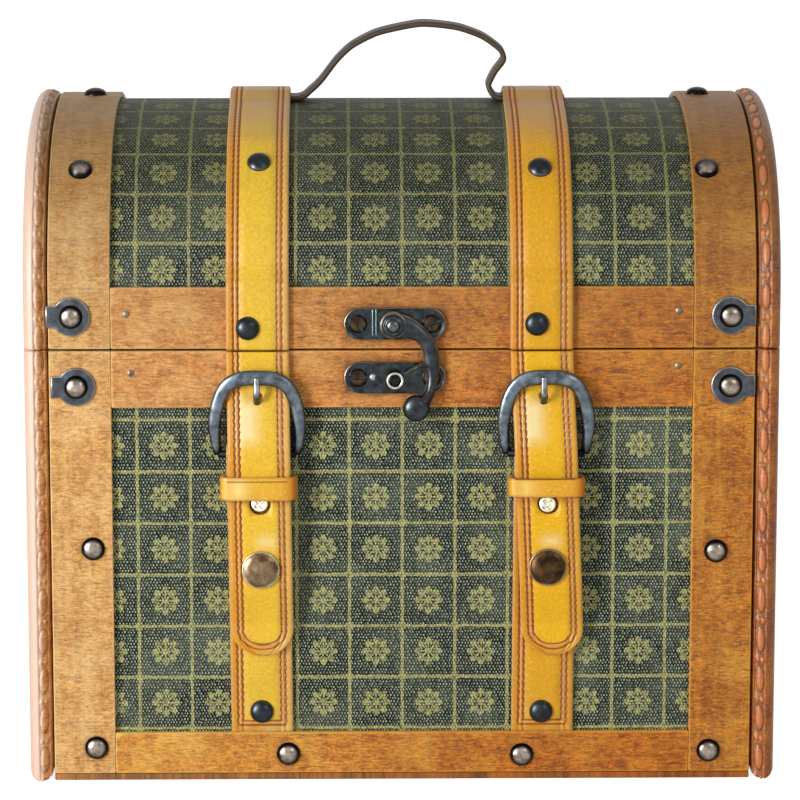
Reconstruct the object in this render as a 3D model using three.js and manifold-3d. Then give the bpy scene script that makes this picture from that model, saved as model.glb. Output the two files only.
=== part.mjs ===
// A dome top trunk: a canvas covered wooden case with a round hinged lid, wooden bands and
// rails, carved end moldings, two buckled leather straps with snaps, a swing hook clasp on the
// front and a bent leather handle on the crown.
// Lengths are in millimetres. X runs to the right as seen from the front, Y to the back, Z up,
// and the origin is the centre of the bottom face.

import * as THREE from 'three';
import { mergeVertices } from 'three/addons/utils/BufferGeometryUtils.js';
import Module from 'manifold-3d';

const wasm = await Module();
wasm.setup();

const degrees = (angle) => THREE.MathUtils.degToRad(angle);

// The whole trunk. An offset is a distance outwards from the face of the canvas.
const halfWidth = 120.8; // centre to the outside of an end molding
const halfDepth = 76; // centre to the canvas on the front and on the back
const seamHeight = 142; // floor to the joint between base and lid
const seamGap = 0.4; // open joint between base and lid
const seat = 0.2; // space between a flat piece and what it lies on
const clearance = 0.3; // running space round a piece that moves
const overrun = 3; // how far a cut runs past the piece that it cuts

// The arch of the lid: a straight rise, a tight shoulder and a wide crown
const springHeight = 15;
const shoulderRadius = 52;
const crownLean = degrees(16.6); // half the angle of the crown's arc
const shoulderSteps = 12;
const crownSteps = 6;

// Boards and canvas of the case
const boardThickness = 5.2;
const endThickness = 7.4;
const shellThickness = 4;
const floorThickness = 2.2;
const floorSetBack = 0.6; // the floor's edge lies this far behind the faces of the strips
const canvasThickness = 0.6;

// Wooden strips nailed over the canvas
const stripThickness = 2;
const postWidth = 19.8;
const lidRailHeight = 20;
const baseRailHeight = 18.4;
const footRailHeight = 13.6;

// Moldings round the two ends
const moldingWidth = 7.6;
const moldingProud = 3.2; // how far the molding stands out past the canvas
const moldingReach = 9.5; // how far it reaches in over the end face
const moldingChamfer = 1.6;
const beadSteps = 6;

// Dome headed nails
const nailRadius = 3.85;
const nailRise = 2.3;
const nailRoot = 0.6; // depth that the head is let into its strip
const nailSides = 10;
const nailRings = 3;
const postNailInset = 7.4; // from the inner edge of a post or band
const postNailHeights = [10.5, 77.5]; // above the floor
const shoulderNailLean = degrees(42.5); // angle of the normal there from upright
const railNailSpread = 37.5; // from the centre of the foot rail
const footNailHeight = 9.2;

// Corner tabs beside the seam
const tabRadius = 6;
const tabThickness = 0.8;
const tabNeckWidth = 7;
const tabFromEdge = 8; // pad centre to the outer edge of the post
const lidTabRise = 11.4; // above the seam
const baseTabDrop = 10;

// Straps
const strapPlaceShare = 0.4871; // of the way from the trunk's middle to a post
const strapWidth = 20;
const strapThickness = 2;
const lowerStrapThickness = 1.8;
const leatherSeat = 0.3;
const strapRamp = 6; // length over which the strap steps down off a rail
const strapNailRise = 8.6; // nail over the lid rail, above the seam
const strapFootNail = 7.1; // nail above the foot of the lower strap
const tailLength = 100.2;
const tailTip = 8.6; // height of the rounded tip

// Buckle: a horseshoe frame on a heel bar that lies in the fold of the lower strap
const heelDrop = 33.5; // heel bar below the seam
const heelRadius = 1.2;
const buckleHeight = 25.5; // heel bar to the middle of the top bar
const buckleSideSpace = 1.7; // between the strap's edge and a leg
const legWidth = 3.7;
const topBarWidth = 5;
const legTipWidth = 2.2;
const buckleThickness = 2.4;
const buckleSteps = 26;
const buckleSquareness = 0.56; // exponent of the frame's rounded outline
const frameCornerShare = 0.8; // of the height, down to which its corners lie over the strap
const flapDrop = 20.8; // end of the folded flap below the heel bar
const foldTaper = 5; // height over which the fold narrows to the flap
const prongWidth = 2.2;
const prongThickness = 1.6;
const prongSlot = [6.6, 13.6]; // ends of the tail's slot below the middle of the top bar
const prongTip = 1.2; // below the middle of the top bar

// Keeper loop
const keeperDrop = 43.8; // its middle below the seam
const keeperHeight = 7.6;
const keeperThickness = 1.5;
const keeperSideSpace = 0.85;
const keeperCorner = 1.4;

// Screw through the flap, and the snap that holds the tail down
const screwDrop = 49.8;
const screwHeadRadius = 3;
const screwHeadHeight = 1.7;
const screwShankRadius = 1.4;
const screwLength = 11;
const snapDrop = 70.2;
const snapCapRadius = 6.1;
const snapCapHeight = 1.9;
const snapPostRadius = 1.7;
const snapRingRadius = 4;
const snapRingBore = 2.8;
const snapFloor = 0.4;
const studFlangeRadius = 3.4;
const studFlangeHeight = 0.5;
const studRadius = 1.3;
const studHeight = 1.9;
const snapEngagement = 0.6; // how far the stud stands into the ring

// Swing hook clasp
const claspCentre = -2.4; // trunk centre to the clasp's pivot
const claspPlateLength = 32;
const claspPlateHeight = 10;
const claspPlateThickness = 1.2;
const claspScrewInset = 4.6; // screw centre from the plate's end
const claspScrewRadius = 2.3;
const claspScrewRise = 0.1;
const claspRibOffset = 7; // pivot to the pair of raised ribs
const claspRibWidth = 0.9;
const claspRibRise = 0.5;
const pivotRise = 8.8; // pivot above the seam
const catchDrop = 9.2; // catch stud below the seam
const hookReach = 28.1; // pivot to the middle of the ball
const hookThickness = 2.2;
const hookHeadRadius = 4.4;
const hookBallRadius = 3.8;
const hookBallDepth = 2.5;
const pivotRadius = 1.6;
const pivotHeadRadius = 3;
const pivotHeadRise = 1.3;
const catchNeckRadius = 1.4;
const catchHeadRadius = 2.5;
const catchHeadHeight = 1.2;
const catchDish = 0.5;
const catchFootRadius = 2.2;
const latchedSwing = degrees(27); // the hook turns this far to take the stud

// Hinges on the back
const hingeWidth = 24;
const hingePlaceShare = 0.2; // of the free rail past the strap, left between strap and hinge
const hingeLeafHeight = 11;
const hingeLeafThickness = 1;
const knuckleRadius = 2;
const pinRadius = 0.9;
const pinSlack = 0.06;
const knuckleCount = 5;
const pinSides = 12;

// Handle: a leather strip nailed down under both straps
const handleRise = 26; // crown canvas to the middle of the strip at its highest
const handleWidth = 11;
const handleThickness = 1.8;
const handleSteps = 40;

// Worked out from the values above
const endFace = halfWidth - moldingWidth - seat;
const endBoardFace = endFace - canvasThickness - seat;
const endInside = endBoardFace - endThickness;
const boardOffset = -(canvasThickness + seat);
const stripFace = seat + stripThickness;
const postOuter = endFace - seat;
const postInner = postOuter - postWidth;
const railEnd = postInner - seat;
const strapCentre = strapPlaceShare * postInner;
const strapHalf = strapWidth / 2;
const strapOuter = strapCentre + strapHalf;
const hingeRoom = railEnd - strapOuter - hingeWidth;
const hingeCentre = strapOuter + hingePlaceShare * hingeRoom + hingeWidth / 2;
const baseTop = seamHeight - seamGap / 2;
const lidBottom = seamHeight + seamGap / 2;
const boardFoot = floorThickness + seat;
const heelHeight = seamHeight - heelDrop;

// Materials
const finish = (color, roughness, metalness) =>
  new THREE.MeshStandardMaterial({ color, roughness, metalness });
const paint = {
  plainWood: () => finish(0xc99a62, 0.7, 0),
  honeyWood: () => finish(0xc98a45, 0.55, 0),
  carvedWood: () => finish(0xa8663a, 0.5, 0),
  canvas: () => finish(0x2e3a30, 0.7, 0),
  strapLeather: () => finish(0xd9a02c, 0.5, 0),
  handleLeather: () => finish(0x3a3324, 0.6, 0),
  iron: () => finish(0x2b2b2d, 0.4, 0.9),
  gunmetal: () => finish(0x5b6067, 0.35, 1),
  bronze: () => finish(0x7a6a58, 0.4, 0.9),
  steel: () => finish(0xb9bbbd, 0.3, 1),
};

// A closed mesh with merged corners, no folded triangles and its faces pointing out
function closed(geometry) {
  const bare = new THREE.BufferGeometry();
  bare.setAttribute('position', geometry.getAttribute('position').clone());
  bare.setIndex(geometry.index ? geometry.index.clone() : null);
  const merged = mergeVertices(bare);
  const corners = merged.index.array;
  const kept = [];
  let volume = 0;
  const [a, b, c] = [new THREE.Vector3(), new THREE.Vector3(), new THREE.Vector3()];
  const place = merged.getAttribute('position');
  for (let i = 0; i < corners.length; i += 3) {
    const [p, q, r] = [corners[i], corners[i + 1], corners[i + 2]];
    if (p === q || q === r || r === p) continue;
    kept.push(p, q, r);
    a.fromBufferAttribute(place, p);
    b.fromBufferAttribute(place, q);
    c.fromBufferAttribute(place, r);
    volume += a.dot(b.cross(c));
  }
  if (volume < 0) kept.reverse();
  merged.setIndex(kept);
  return merged;
}

function toSolid(geometry) {
  const mesh = closed(geometry);
  return new wasm.Manifold(new wasm.Mesh({
    numProp: 3,
    vertProperties: Float32Array.from(mesh.getAttribute('position').array),
    triVerts: Uint32Array.from(mesh.index.array),
  }));
}

function fromSolid(solid) {
  const mesh = solid.getMesh();
  const geometry = new THREE.BufferGeometry();
  geometry.setAttribute('position', new THREE.BufferAttribute(mesh.vertProperties, 3));
  geometry.setIndex(new THREE.BufferAttribute(mesh.triVerts, 1));
  return geometry;
}

const joined = (...parts) => fromSolid(parts.map(toSolid).reduce((all, next) => all.add(next)));
const cut = (body, ...tools) =>
  fromSolid(tools.map(toSolid).reduce((rest, tool) => rest.subtract(tool), toSolid(body)));
const common = (one, other) => fromSolid(toSolid(one).intersect(toSolid(other)));

// Side by side rings of equal length become a skin, closed by flat caps at both ends
function skin(rings, capOutline) {
  const size = rings[0].length;
  const positions = rings.flat().flatMap((p) => [p.x, p.y, p.z]);
  const corners = [];
  for (let j = 0; j + 1 < rings.length; j += 1) {
    for (let i = 0; i < size; i += 1) {
      const [p, q] = [j * size + i, j * size + (i + 1) % size];
      corners.push(p, q, q + size, p, q + size, p + size);
    }
  }
  const contour = capOutline.map(([x, y]) => new THREE.Vector2(x, y));
  const last = (rings.length - 1) * size;
  const clockwise = THREE.ShapeUtils.isClockWise(contour);
  for (const [p, q, r] of THREE.ShapeUtils.triangulateShape(contour, [])) {
    corners.push(...(clockwise ? [p, q, r] : [r, q, p]));
    corners.push(...(clockwise ? [last + r, last + q, last + p] : [last + p, last + q, last + r]));
  }
  const geometry = new THREE.BufferGeometry();
  geometry.setAttribute('position', new THREE.Float32BufferAttribute(positions, 3));
  geometry.setIndex(corners);
  return geometry;
}

// A section of [x, offset] points carried along a family of outlines of [y, z] points
function sweep(section, outline) {
  const paths = section.map(([, offset]) => outline(offset));
  const rings = paths[0].map((_, j) =>
    section.map(([x], i) => new THREE.Vector3(x, paths[i][j][0], paths[i][j][1])));
  return skin(rings, section);
}

// Extrusions of a shape drawn in the plane named first, along the third direction
function along(shape, length, [right, up, out], curveSegments = 8) {
  const geometry = new THREE.ExtrudeGeometry(shape, {
    depth: length, bevelEnabled: false, curveSegments,
  });
  return geometry.applyMatrix4(new THREE.Matrix4().makeBasis(right, up, out));
}
const [east, west] = [new THREE.Vector3(1, 0, 0), new THREE.Vector3(-1, 0, 0)];
const south = new THREE.Vector3(0, -1, 0);
const sky = new THREE.Vector3(0, 0, 1);

// A shape of [offset, height] points, centred on x = 0
const sideExtrusion = (shape, width, curveSegments) =>
  along(shape, width, [south, sky, west], curveSegments).translate(width / 2, -halfDepth, 0);
// A shape of [x, height] points, from one offset to another
const frontExtrusion = (shape, low, high, curveSegments) =>
  along(shape, high - low, [east, sky, south], curveSegments).translate(0, -halfDepth - low, 0);
// A shape of [x, offset] points, from one height to another
const levelExtrusion = (shape, low, high, curveSegments) =>
  along(shape, high - low, [east, south, sky], curveSegments).translate(0, -halfDepth, low);

// A turned piece whose profile is [radius, offset], on an axis from back to front
function turned(profile, sides = nailSides) {
  const points = profile.map(([radius, offset]) => new THREE.Vector2(radius, offset));
  return new THREE.LatheGeometry(points, sides).rotateX(Math.PI).translate(0, -halfDepth, 0);
}

function block([left, right], [front, back], [low, high]) {
  const box = new THREE.BoxGeometry(right - left, back - front, high - low);
  return box.translate((left + right) / 2, (front + back) / 2, (low + high) / 2);
}

const polygon = (points) => new THREE.Shape(points.map(([x, y]) => new THREE.Vector2(x, y)));

// A rod along X with its sides worked out from the number of corners
function rod(radius, length, sides) {
  return new THREE.CylinderGeometry(radius, radius, length, sides).rotateZ(Math.PI / 2);
}

// Point and outward normal of the lid's outline, at a distance along it from the front seam
const crownRadius = shoulderRadius + (halfDepth - shoulderRadius) / Math.sin(crownLean);
const crownDrop = (crownRadius - shoulderRadius) * Math.cos(crownLean);
const shoulderArc = shoulderRadius * (Math.PI / 2 - crownLean);
const crownArc = crownRadius * crownLean;
const outlineLength = 2 * (springHeight + shoulderArc + crownArc);

function lidPoint(distance, offset) {
  const half = outlineLength / 2;
  const side = distance <= half ? -1 : 1;
  const run = distance <= half ? distance : outlineLength - distance;
  if (run <= springHeight) return [side * (halfDepth + offset), seamHeight + run];
  const turn = run - springHeight;
  if (turn <= shoulderArc) {
    const lean = Math.PI / 2 - turn / shoulderRadius;
    const radius = shoulderRadius + offset;
    return [
      side * (halfDepth - shoulderRadius + radius * Math.sin(lean)),
      seamHeight + springHeight + radius * Math.cos(lean),
    ];
  }
  const lean = crownLean - (turn - shoulderArc) / crownRadius;
  const radius = crownRadius + offset;
  return [
    side * radius * Math.sin(lean),
    seamHeight + springHeight - crownDrop + radius * Math.cos(lean),
  ];
}

// Distance along the outline of the point whose normal leans forward by an angle
const distanceAtLean = (lean) => (Math.abs(lean) > crownLean
  ? outlineLength / 2 - Math.sign(lean)
    * (crownArc + (Math.abs(lean) - crownLean) * shoulderRadius)
  : outlineLength / 2 - lean * crownRadius);

const lidStations = [
  ...Array.from({ length: shoulderSteps + 1 }, (_, i) =>
    springHeight + (shoulderArc * i) / shoulderSteps),
  ...Array.from({ length: crownSteps - 1 }, (_, i) =>
    springHeight + shoulderArc + (2 * crownArc * (i + 1)) / crownSteps),
  ...Array.from({ length: shoulderSteps + 1 }, (_, i) =>
    springHeight + shoulderArc + 2 * crownArc + (shoulderArc * i) / shoulderSteps),
];

// The stations between two distances, with both ends and any extra ones
function stationsBetween(low, high, extra = []) {
  const inside = [...lidStations, ...extra].filter((s) => s > low && s < high);
  return [...new Set([low, ...inside, high])].sort((p, q) => p - q);
}

const outlineAlong = (stations, lift = () => 0) => (offset) =>
  stations.map((s) => lidPoint(s, offset + lift(s)));
const wholeLid = stationsBetween(seamGap / 2, outlineLength - seamGap / 2);
const band = (left, right, low, high) => [[left, low], [right, low], [right, high], [left, high]];

// Nails
function domeNail() {
  const arc = Array.from({ length: nailRings + 1 }, (_, i) => {
    const angle = (Math.PI / 2) * (i / nailRings);
    return [nailRadius * Math.cos(angle), nailRise * Math.sin(angle)];
  });
  arc[nailRings][0] = 0;
  const points = [[0, -nailRoot], [nailRadius, -nailRoot], ...arc];
  return new THREE.LatheGeometry(points.map(([r, h]) => new THREE.Vector2(r, h)), nailSides);
}

function nailOnFront(x, z, offset) {
  return domeNail().rotateX(Math.PI).translate(x, -halfDepth - offset, z);
}

// A nail on the lid, square to the outline at a distance along it
function nailOnLid(x, distance, offset) {
  const [y, z] = lidPoint(distance, offset);
  const [outerY, outerZ] = lidPoint(distance, offset + nailRise);
  const lean = Math.atan2(outerZ - z, outerY - y);
  return domeNail().rotateX(lean).translate(x, y, z);
}

const trunk = new THREE.Group();

function piece(name, geometry, material, parent = trunk) {
  const mesh = new THREE.Mesh(closed(geometry), material());
  mesh.name = name;
  parent.add(mesh);
  return mesh;
}

// Groups that carry what repeats: the two straps, and the back of the trunk turned round
function groupAt(x, turn = 0) {
  const group = new THREE.Group();
  group.position.x = x;
  group.rotation.z = turn;
  trunk.add(group);
  return group;
}
const strapGroups = { left: groupAt(-strapCentre), right: groupAt(strapCentre) };
const backGroup = groupAt(0, Math.PI);

// Straps lie on the canvas, and step up over the rails and over the ends of the handle
const overRail = stripFace;
const overHandle = handleThickness + leatherSeat;
const handleStation = outlineLength / 2;
const liftTable = [
  [0, overRail],
  [lidRailHeight + clearance, overRail],
  [lidRailHeight + clearance + strapRamp, 0],
  [handleStation - handleWidth / 2 - strapRamp, 0],
  [handleStation - handleWidth / 2, overHandle],
  [handleStation + handleWidth / 2, overHandle],
  [handleStation + handleWidth / 2 + strapRamp, 0],
  [outlineLength - lidRailHeight - clearance - strapRamp, 0],
  [outlineLength - lidRailHeight - clearance, overRail],
  [outlineLength, overRail],
];
function strapLift(distance) {
  const next = liftTable.findIndex(([s], i) => i > 0 && s >= distance);
  const [[s0, lift0], [s1, lift1]] = [liftTable[next - 1], liftTable[next]];
  return lift0 + ((lift1 - lift0) * (distance - s0)) / (s1 - s0);
}

// Offsets of the layers below the seam, from the canvas outwards
const lowerFace = leatherSeat + lowerStrapThickness;
const heelOffset = lowerFace + clearance + heelRadius;
const foldInside = heelRadius + clearance;
const foldOutside = foldInside + lowerStrapThickness;
const keeperBack = lowerFace + clearance;
const flapBack = keeperBack + keeperThickness + clearance;
const flapFace = flapBack + lowerStrapThickness;
const tailOverHeel = heelOffset + foldOutside + clearance;
const tailOverFlap = flapFace + clearance;
const snapRingLow = lowerFace + seat + studFlangeHeight + studHeight - snapEngagement;
const snapPlate = lowerFace + seat + studFlangeHeight + studHeight + clearance;
const tailOverSnap = snapPlate + snapFloor + clearance;
const tailOverTip = lowerFace + clearance;

// The back face of the tail, as offset and drop below the seam
const tailRun = [
  [stripFace + leatherSeat, 0],
  [stripFace + leatherSeat, heelDrop - frameCornerShare * buckleHeight],
  [tailOverHeel, heelDrop - foldOutside],
  [tailOverHeel, heelDrop + foldInside],
  [tailOverFlap, keeperDrop - keeperHeight / 2],
  [tailOverFlap, heelDrop + flapDrop],
  [tailOverSnap, snapDrop - snapCapRadius],
  [tailOverSnap, snapDrop + snapCapRadius],
  [tailOverTip, snapDrop + 3 * snapCapRadius],
  [tailOverTip, tailLength],
];

// A strip of even thickness whose back face follows [offset, height] points
function ribbonShape(points, thickness) {
  const face = points.map(([u, z], i) => {
    const [u0, z0] = points[Math.max(0, i - 1)];
    const [u1, z1] = points[Math.min(points.length - 1, i + 1)];
    const length = Math.hypot(u1 - u0, z1 - z0);
    return [u - (thickness * (z1 - z0)) / length, z + (thickness * (u1 - u0)) / length];
  });
  return polygon([...points, ...face.reverse()]);
}

// The case
const heightOfBase = [boardFoot, baseTop];
const boardFaceY = halfDepth + boardOffset;

function screwTools() {
  const hole = turned([
    [0, -boardThickness - overrun],
    [screwShankRadius + clearance / 2, -boardThickness - overrun],
    [screwShankRadius + clearance / 2, tailOverHeel],
    [0, tailOverHeel],
  ]).translate(0, 0, seamHeight - screwDrop);
  return [hole.clone().translate(-strapCentre, 0, 0), hole.clone().translate(strapCentre, 0, 0)];
}

piece('base_floor', block(
  [-postOuter, postOuter],
  [-halfDepth - stripFace + floorSetBack, halfDepth + stripFace - floorSetBack],
  [0, floorThickness],
), paint.plainWood);
piece('base_front_board', cut(
  block([-endInside + seat, endInside - seat], [-boardFaceY, -boardFaceY + boardThickness],
    heightOfBase),
  ...screwTools(),
), paint.plainWood);
piece('base_back_board', block([-endInside + seat, endInside - seat],
  [boardFaceY - boardThickness, boardFaceY], heightOfBase), paint.plainWood);
for (const [name, side] of [['left', -1], ['right', 1]]) {
  const faces = [side * endInside, side * endBoardFace].sort((p, q) => p - q);
  piece(`base_${name}_end`, block(faces, [-boardFaceY, boardFaceY], heightOfBase),
    paint.plainWood);
}

function caseRing(outerX, outerY, thickness) {
  const shape = polygon([[-outerX, -outerY], [outerX, -outerY], [outerX, outerY], [-outerX, outerY]]);
  const [x, y] = [outerX - thickness, outerY - thickness];
  shape.holes.push(polygon([[-x, -y], [-x, y], [x, y], [x, -y]]));
  return shape;
}
piece('base_canvas', cut(
  levelExtrusion(caseRing(endFace, halfDepth, canvasThickness), ...heightOfBase)
    .translate(0, halfDepth, 0),
  ...screwTools(),
), paint.canvas);

// Posts and rails of the base, the same on the front and on the back
const frontStrip = (xs, zs) => block(xs, [-halfDepth - stripFace, -halfDepth - seat], zs);
function postWithNails(side) {
  const xs = [side * postInner, side * postOuter].sort((p, q) => p - q);
  const nails = postNailHeights.map((z) =>
    nailOnFront(side * (postInner + postNailInset), z, stripFace));
  return joined(frontStrip(xs, heightOfBase), ...nails);
}
const topRail = () => frontStrip([-railEnd, railEnd], [baseTop - baseRailHeight, baseTop]);
const footRail = () => joined(
  frontStrip([-railEnd, railEnd], [boardFoot, boardFoot + footRailHeight]),
  nailOnFront(-railNailSpread, footNailHeight, stripFace),
  nailOnFront(railNailSpread, footNailHeight, stripFace),
);
piece('base_front_left_post', postWithNails(-1), paint.honeyWood);
piece('base_front_right_post', postWithNails(1), paint.honeyWood);
piece('base_front_top_rail', topRail(), paint.honeyWood);
piece('base_front_foot_rail', footRail(), paint.honeyWood);
piece('base_back_left_post', postWithNails(1), paint.honeyWood, backGroup);
piece('base_back_right_post', postWithNails(-1), paint.honeyWood, backGroup);
piece('base_back_top_rail', topRail(), paint.honeyWood, backGroup);
piece('base_back_foot_rail', footRail(), paint.honeyWood, backGroup);

// End moldings: a flat strip with a half round bead on its outer edge
const beadRadius = moldingWidth / 2;
const moldingInside = endFace + seat;
function moldingSection(side) {
  const middle = moldingInside + beadRadius;
  const bead = Array.from({ length: beadSteps + 1 }, (_, i) => {
    const angle = Math.PI * (i / beadSteps);
    return [
      side * (middle - beadRadius * Math.cos(angle)),
      moldingProud - beadRadius + beadRadius * Math.sin(angle),
    ];
  });
  return [
    [side * moldingInside, -moldingReach],
    ...bead,
    [side * halfWidth, moldingChamfer - moldingReach],
    [side * (halfWidth - moldingChamfer), -moldingReach],
  ];
}
const baseOutline = (offset) => [
  [-halfDepth - offset, baseTop],
  [-halfDepth - offset, moldingProud - offset],
  [halfDepth + offset, moldingProud - offset],
  [halfDepth + offset, baseTop],
];
for (const [name, side] of [['left', -1], ['right', 1]]) {
  piece(`base_${name}_molding`, sweep(moldingSection(side), baseOutline), paint.carvedWood);
  piece(`lid_${name}_molding`, sweep(moldingSection(side), outlineAlong(wholeLid)),
    paint.carvedWood);
}

// The lid's bent shell, its end boards and its canvas
const shellInside = boardOffset - shellThickness;
piece('lid_shell', sweep(band(-endBoardFace, endBoardFace, shellInside, boardOffset),
  outlineAlong(wholeLid)), paint.plainWood);
piece('lid_canvas', sweep(band(-endBoardFace, endBoardFace, -canvasThickness, 0),
  outlineAlong(wholeLid)), paint.canvas);
const lidProfile = (offset) =>
  polygon(outlineAlong(wholeLid)(offset).map(([y, z]) => [-y - halfDepth, z]));
for (const [name, side] of [['left', -1], ['right', 1]]) {
  const board = sideExtrusion(lidProfile(shellInside - seat), endThickness);
  piece(`lid_${name}_end`, board.translate(side * (endInside + endThickness / 2), 0, 0),
    paint.plainWood);
  const cover = sideExtrusion(lidProfile(0), canvasThickness);
  piece(`lid_${name}_end_canvas`, cover.translate(side * (endFace - canvasThickness / 2), 0, 0),
    paint.canvas);
}

// Rails and bands of the lid
const railStations = stationsBetween(seamGap / 2, lidRailHeight);
const backRailStations = stationsBetween(outlineLength - lidRailHeight,
  outlineLength - seamGap / 2);
piece('lid_front_rail', sweep(band(-railEnd, railEnd, seat, stripFace),
  outlineAlong(railStations)), paint.honeyWood);
piece('lid_back_rail', sweep(band(-railEnd, railEnd, seat, stripFace),
  outlineAlong(backRailStations)), paint.honeyWood);
const bandNailStations = [
  distanceAtLean(shoulderNailLean),
  outlineLength / 2,
  distanceAtLean(-shoulderNailLean),
];
for (const [name, side] of [['left', -1], ['right', 1]]) {
  const xs = [side * postInner, side * postOuter].sort((p, q) => p - q);
  const nails = bandNailStations.map((s) =>
    nailOnLid(side * (postInner + postNailInset), s, stripFace));
  piece(`lid_${name}_band`,
    joined(sweep(band(...xs, seat, stripFace), outlineAlong(wholeLid)), ...nails),
    paint.honeyWood);
}

// Corner tabs: round pads with a neck that runs out to the molding, each under a nail
function cornerTab(side, height) {
  const [low, high] = [stripFace + seat, stripFace + seat + tabThickness];
  const x = side * (postOuter - tabFromEdge);
  const pad = new THREE.Shape().absarc(x, height, tabRadius, 0, 2 * Math.PI);
  const neck = [x, side * postOuter].sort((p, q) => p - q);
  return joined(
    frontExtrusion(pad, low, high),
    block(neck, [-halfDepth - high, -halfDepth - low],
      [height - tabNeckWidth / 2, height + tabNeckWidth / 2]),
    nailOnFront(x, height, high),
  );
}
for (const [name, side] of [['left', -1], ['right', 1]]) {
  piece(`lid_${name}_tab`, cornerTab(side, seamHeight + lidTabRise), paint.iron);
  piece(`base_${name}_tab`, cornerTab(side, seamHeight - baseTabDrop), paint.iron);
}

// The upper strap runs from the front seam over the lid to the back seam
const strapStations = stationsBetween(seamGap / 2, outlineLength - seamGap / 2,
  liftTable.map(([s]) => s));
const strapNails = [
  strapNailRise,
  distanceAtLean(shoulderNailLean),
  distanceAtLean(-shoulderNailLean),
  outlineLength - strapNailRise,
];
function upperStrap() {
  const face = leatherSeat + strapThickness;
  const nails = strapNails.map((s) => nailOnLid(0, s, face + strapLift(s)));
  return joined(sweep(band(-strapHalf, strapHalf, leatherSeat, face),
    outlineAlong(strapStations, strapLift)), ...nails);
}

// The lower strap is folded over the heel bar, with a slot for the prong in the fold
function lowerStrap() {
  const foot = boardFoot + footRailHeight + seat;
  const flapEnd = heelHeight - flapDrop;
  const shape = new THREE.Shape();
  shape.moveTo(leatherSeat, foot);
  shape.lineTo(leatherSeat, heelHeight);
  shape.absarc(heelOffset, heelHeight, foldOutside, Math.PI, 0, true);
  shape.lineTo(flapFace, heelHeight - foldTaper);
  shape.lineTo(flapFace, flapEnd);
  shape.lineTo(flapBack, flapEnd);
  shape.lineTo(flapBack, heelHeight - foldTaper);
  shape.lineTo(heelOffset + foldInside, heelHeight);
  shape.absarc(heelOffset, heelHeight, foldInside, 0, Math.PI, false);
  shape.lineTo(lowerFace, foot);
  const slotHalf = prongWidth / 2 + clearance;
  const slot = block([-slotHalf, slotHalf],
    [-halfDepth - tailOverHeel, -halfDepth],
    [heelHeight - foldTaper, heelHeight + foldOutside + overrun]);
  const strap = cut(sideExtrusion(shape, strapWidth), slot,
    screwTools()[1].translate(-strapCentre, 0, 0));
  return joined(strap, nailOnFront(0, foot + strapFootNail, lowerFace));
}

// The tail leaves the seam, lies over the fold and the flap, and ends in a rounded tip
function tail() {
  const run = tailRun.map(([u, drop]) => [u, baseTop - drop]);
  const strip = sideExtrusion(ribbonShape(run, strapThickness), strapWidth);
  const tip = baseTop - tailLength;
  const outline = new THREE.Shape();
  outline.moveTo(-strapHalf, seamHeight + overrun);
  outline.lineTo(-strapHalf, tip + tailTip);
  outline.absellipse(0, tip + tailTip, strapHalf, tailTip, Math.PI, 2 * Math.PI, false);
  outline.lineTo(strapHalf, seamHeight + overrun);
  const rounded = common(strip, frontExtrusion(outline, 0, tailOverHeel + overrun, 12));
  const through = (radius) => turned([
    [0, 0], [radius, 0], [radius, tailOverHeel + overrun], [0, tailOverHeel + overrun],
  ], 16);
  const barHeight = heelHeight + buckleHeight;
  const slotHalf = prongWidth / 2 + 2 * clearance;
  return cut(rounded,
    through(screwHeadRadius + clearance).translate(0, 0, seamHeight - screwDrop),
    through(snapPostRadius + clearance).translate(0, 0, seamHeight - snapDrop),
    block([-slotHalf, slotHalf], [-halfDepth - tailOverHeel - overrun, -halfDepth],
      [barHeight - prongSlot[1], barHeight - prongSlot[0]]));
}

// Buckle frame: a rounded horseshoe of changing width that leans from the heel bar to its top
const legOffset = strapHalf + buckleSideSpace + legWidth / 2;
const frameOverStrap = stripFace + leatherSeat + strapThickness + clearance + buckleThickness / 2;
const topBarOffset = heelOffset + (frameOverStrap - heelOffset) / frameCornerShare;
const legFacets = 8;
const facetTurn = (i) => 2 * Math.PI * ((i + 0.5) / legFacets);
function buckleFrame() {
  const rings = Array.from({ length: buckleSteps + 1 }, (_, j) => {
    const angle = Math.PI * (j / buckleSteps);
    const power = (value) => Math.sign(value) * Math.abs(value) ** buckleSquareness;
    const at = (a) => [legOffset * power(Math.cos(a)), buckleHeight * power(Math.sin(a))];
    const [x, rise] = at(angle);
    const step = Math.PI / buckleSteps / 4;
    const [x0, rise0] = at(Math.max(0, angle - step));
    const [x1, rise1] = at(Math.min(Math.PI, angle + step));
    const inPlane = new THREE.Vector2(rise1 - rise0, x0 - x1).normalize();
    const share = rise / buckleHeight;
    const width = share < 0.5
      ? legTipWidth + (legWidth - legTipWidth) * 2 * share
      : legWidth + (topBarWidth - legWidth) * Math.sin(angle) ** 4;
    const offset = heelOffset + (topBarOffset - heelOffset) * share;
    return Array.from({ length: legFacets }, (_unused, i) => {
      const turn = facetTurn(i);
      const across = (width / 2) * Math.cos(turn);
      return new THREE.Vector3(
        x + inPlane.x * across,
        -halfDepth - offset - (buckleThickness / 2) * Math.sin(turn),
        heelHeight + rise + inPlane.y * across,
      );
    });
  });
  const capOutline = Array.from({ length: legFacets }, (_, i) => [
    Math.cos(facetTurn(i)), Math.sin(facetTurn(i)),
  ]);
  const heelBar = rod(heelRadius, 2 * legOffset, 12).translate(0, -halfDepth - heelOffset,
    heelHeight);
  return joined(skin(rings, capOutline), heelBar);
}

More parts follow.
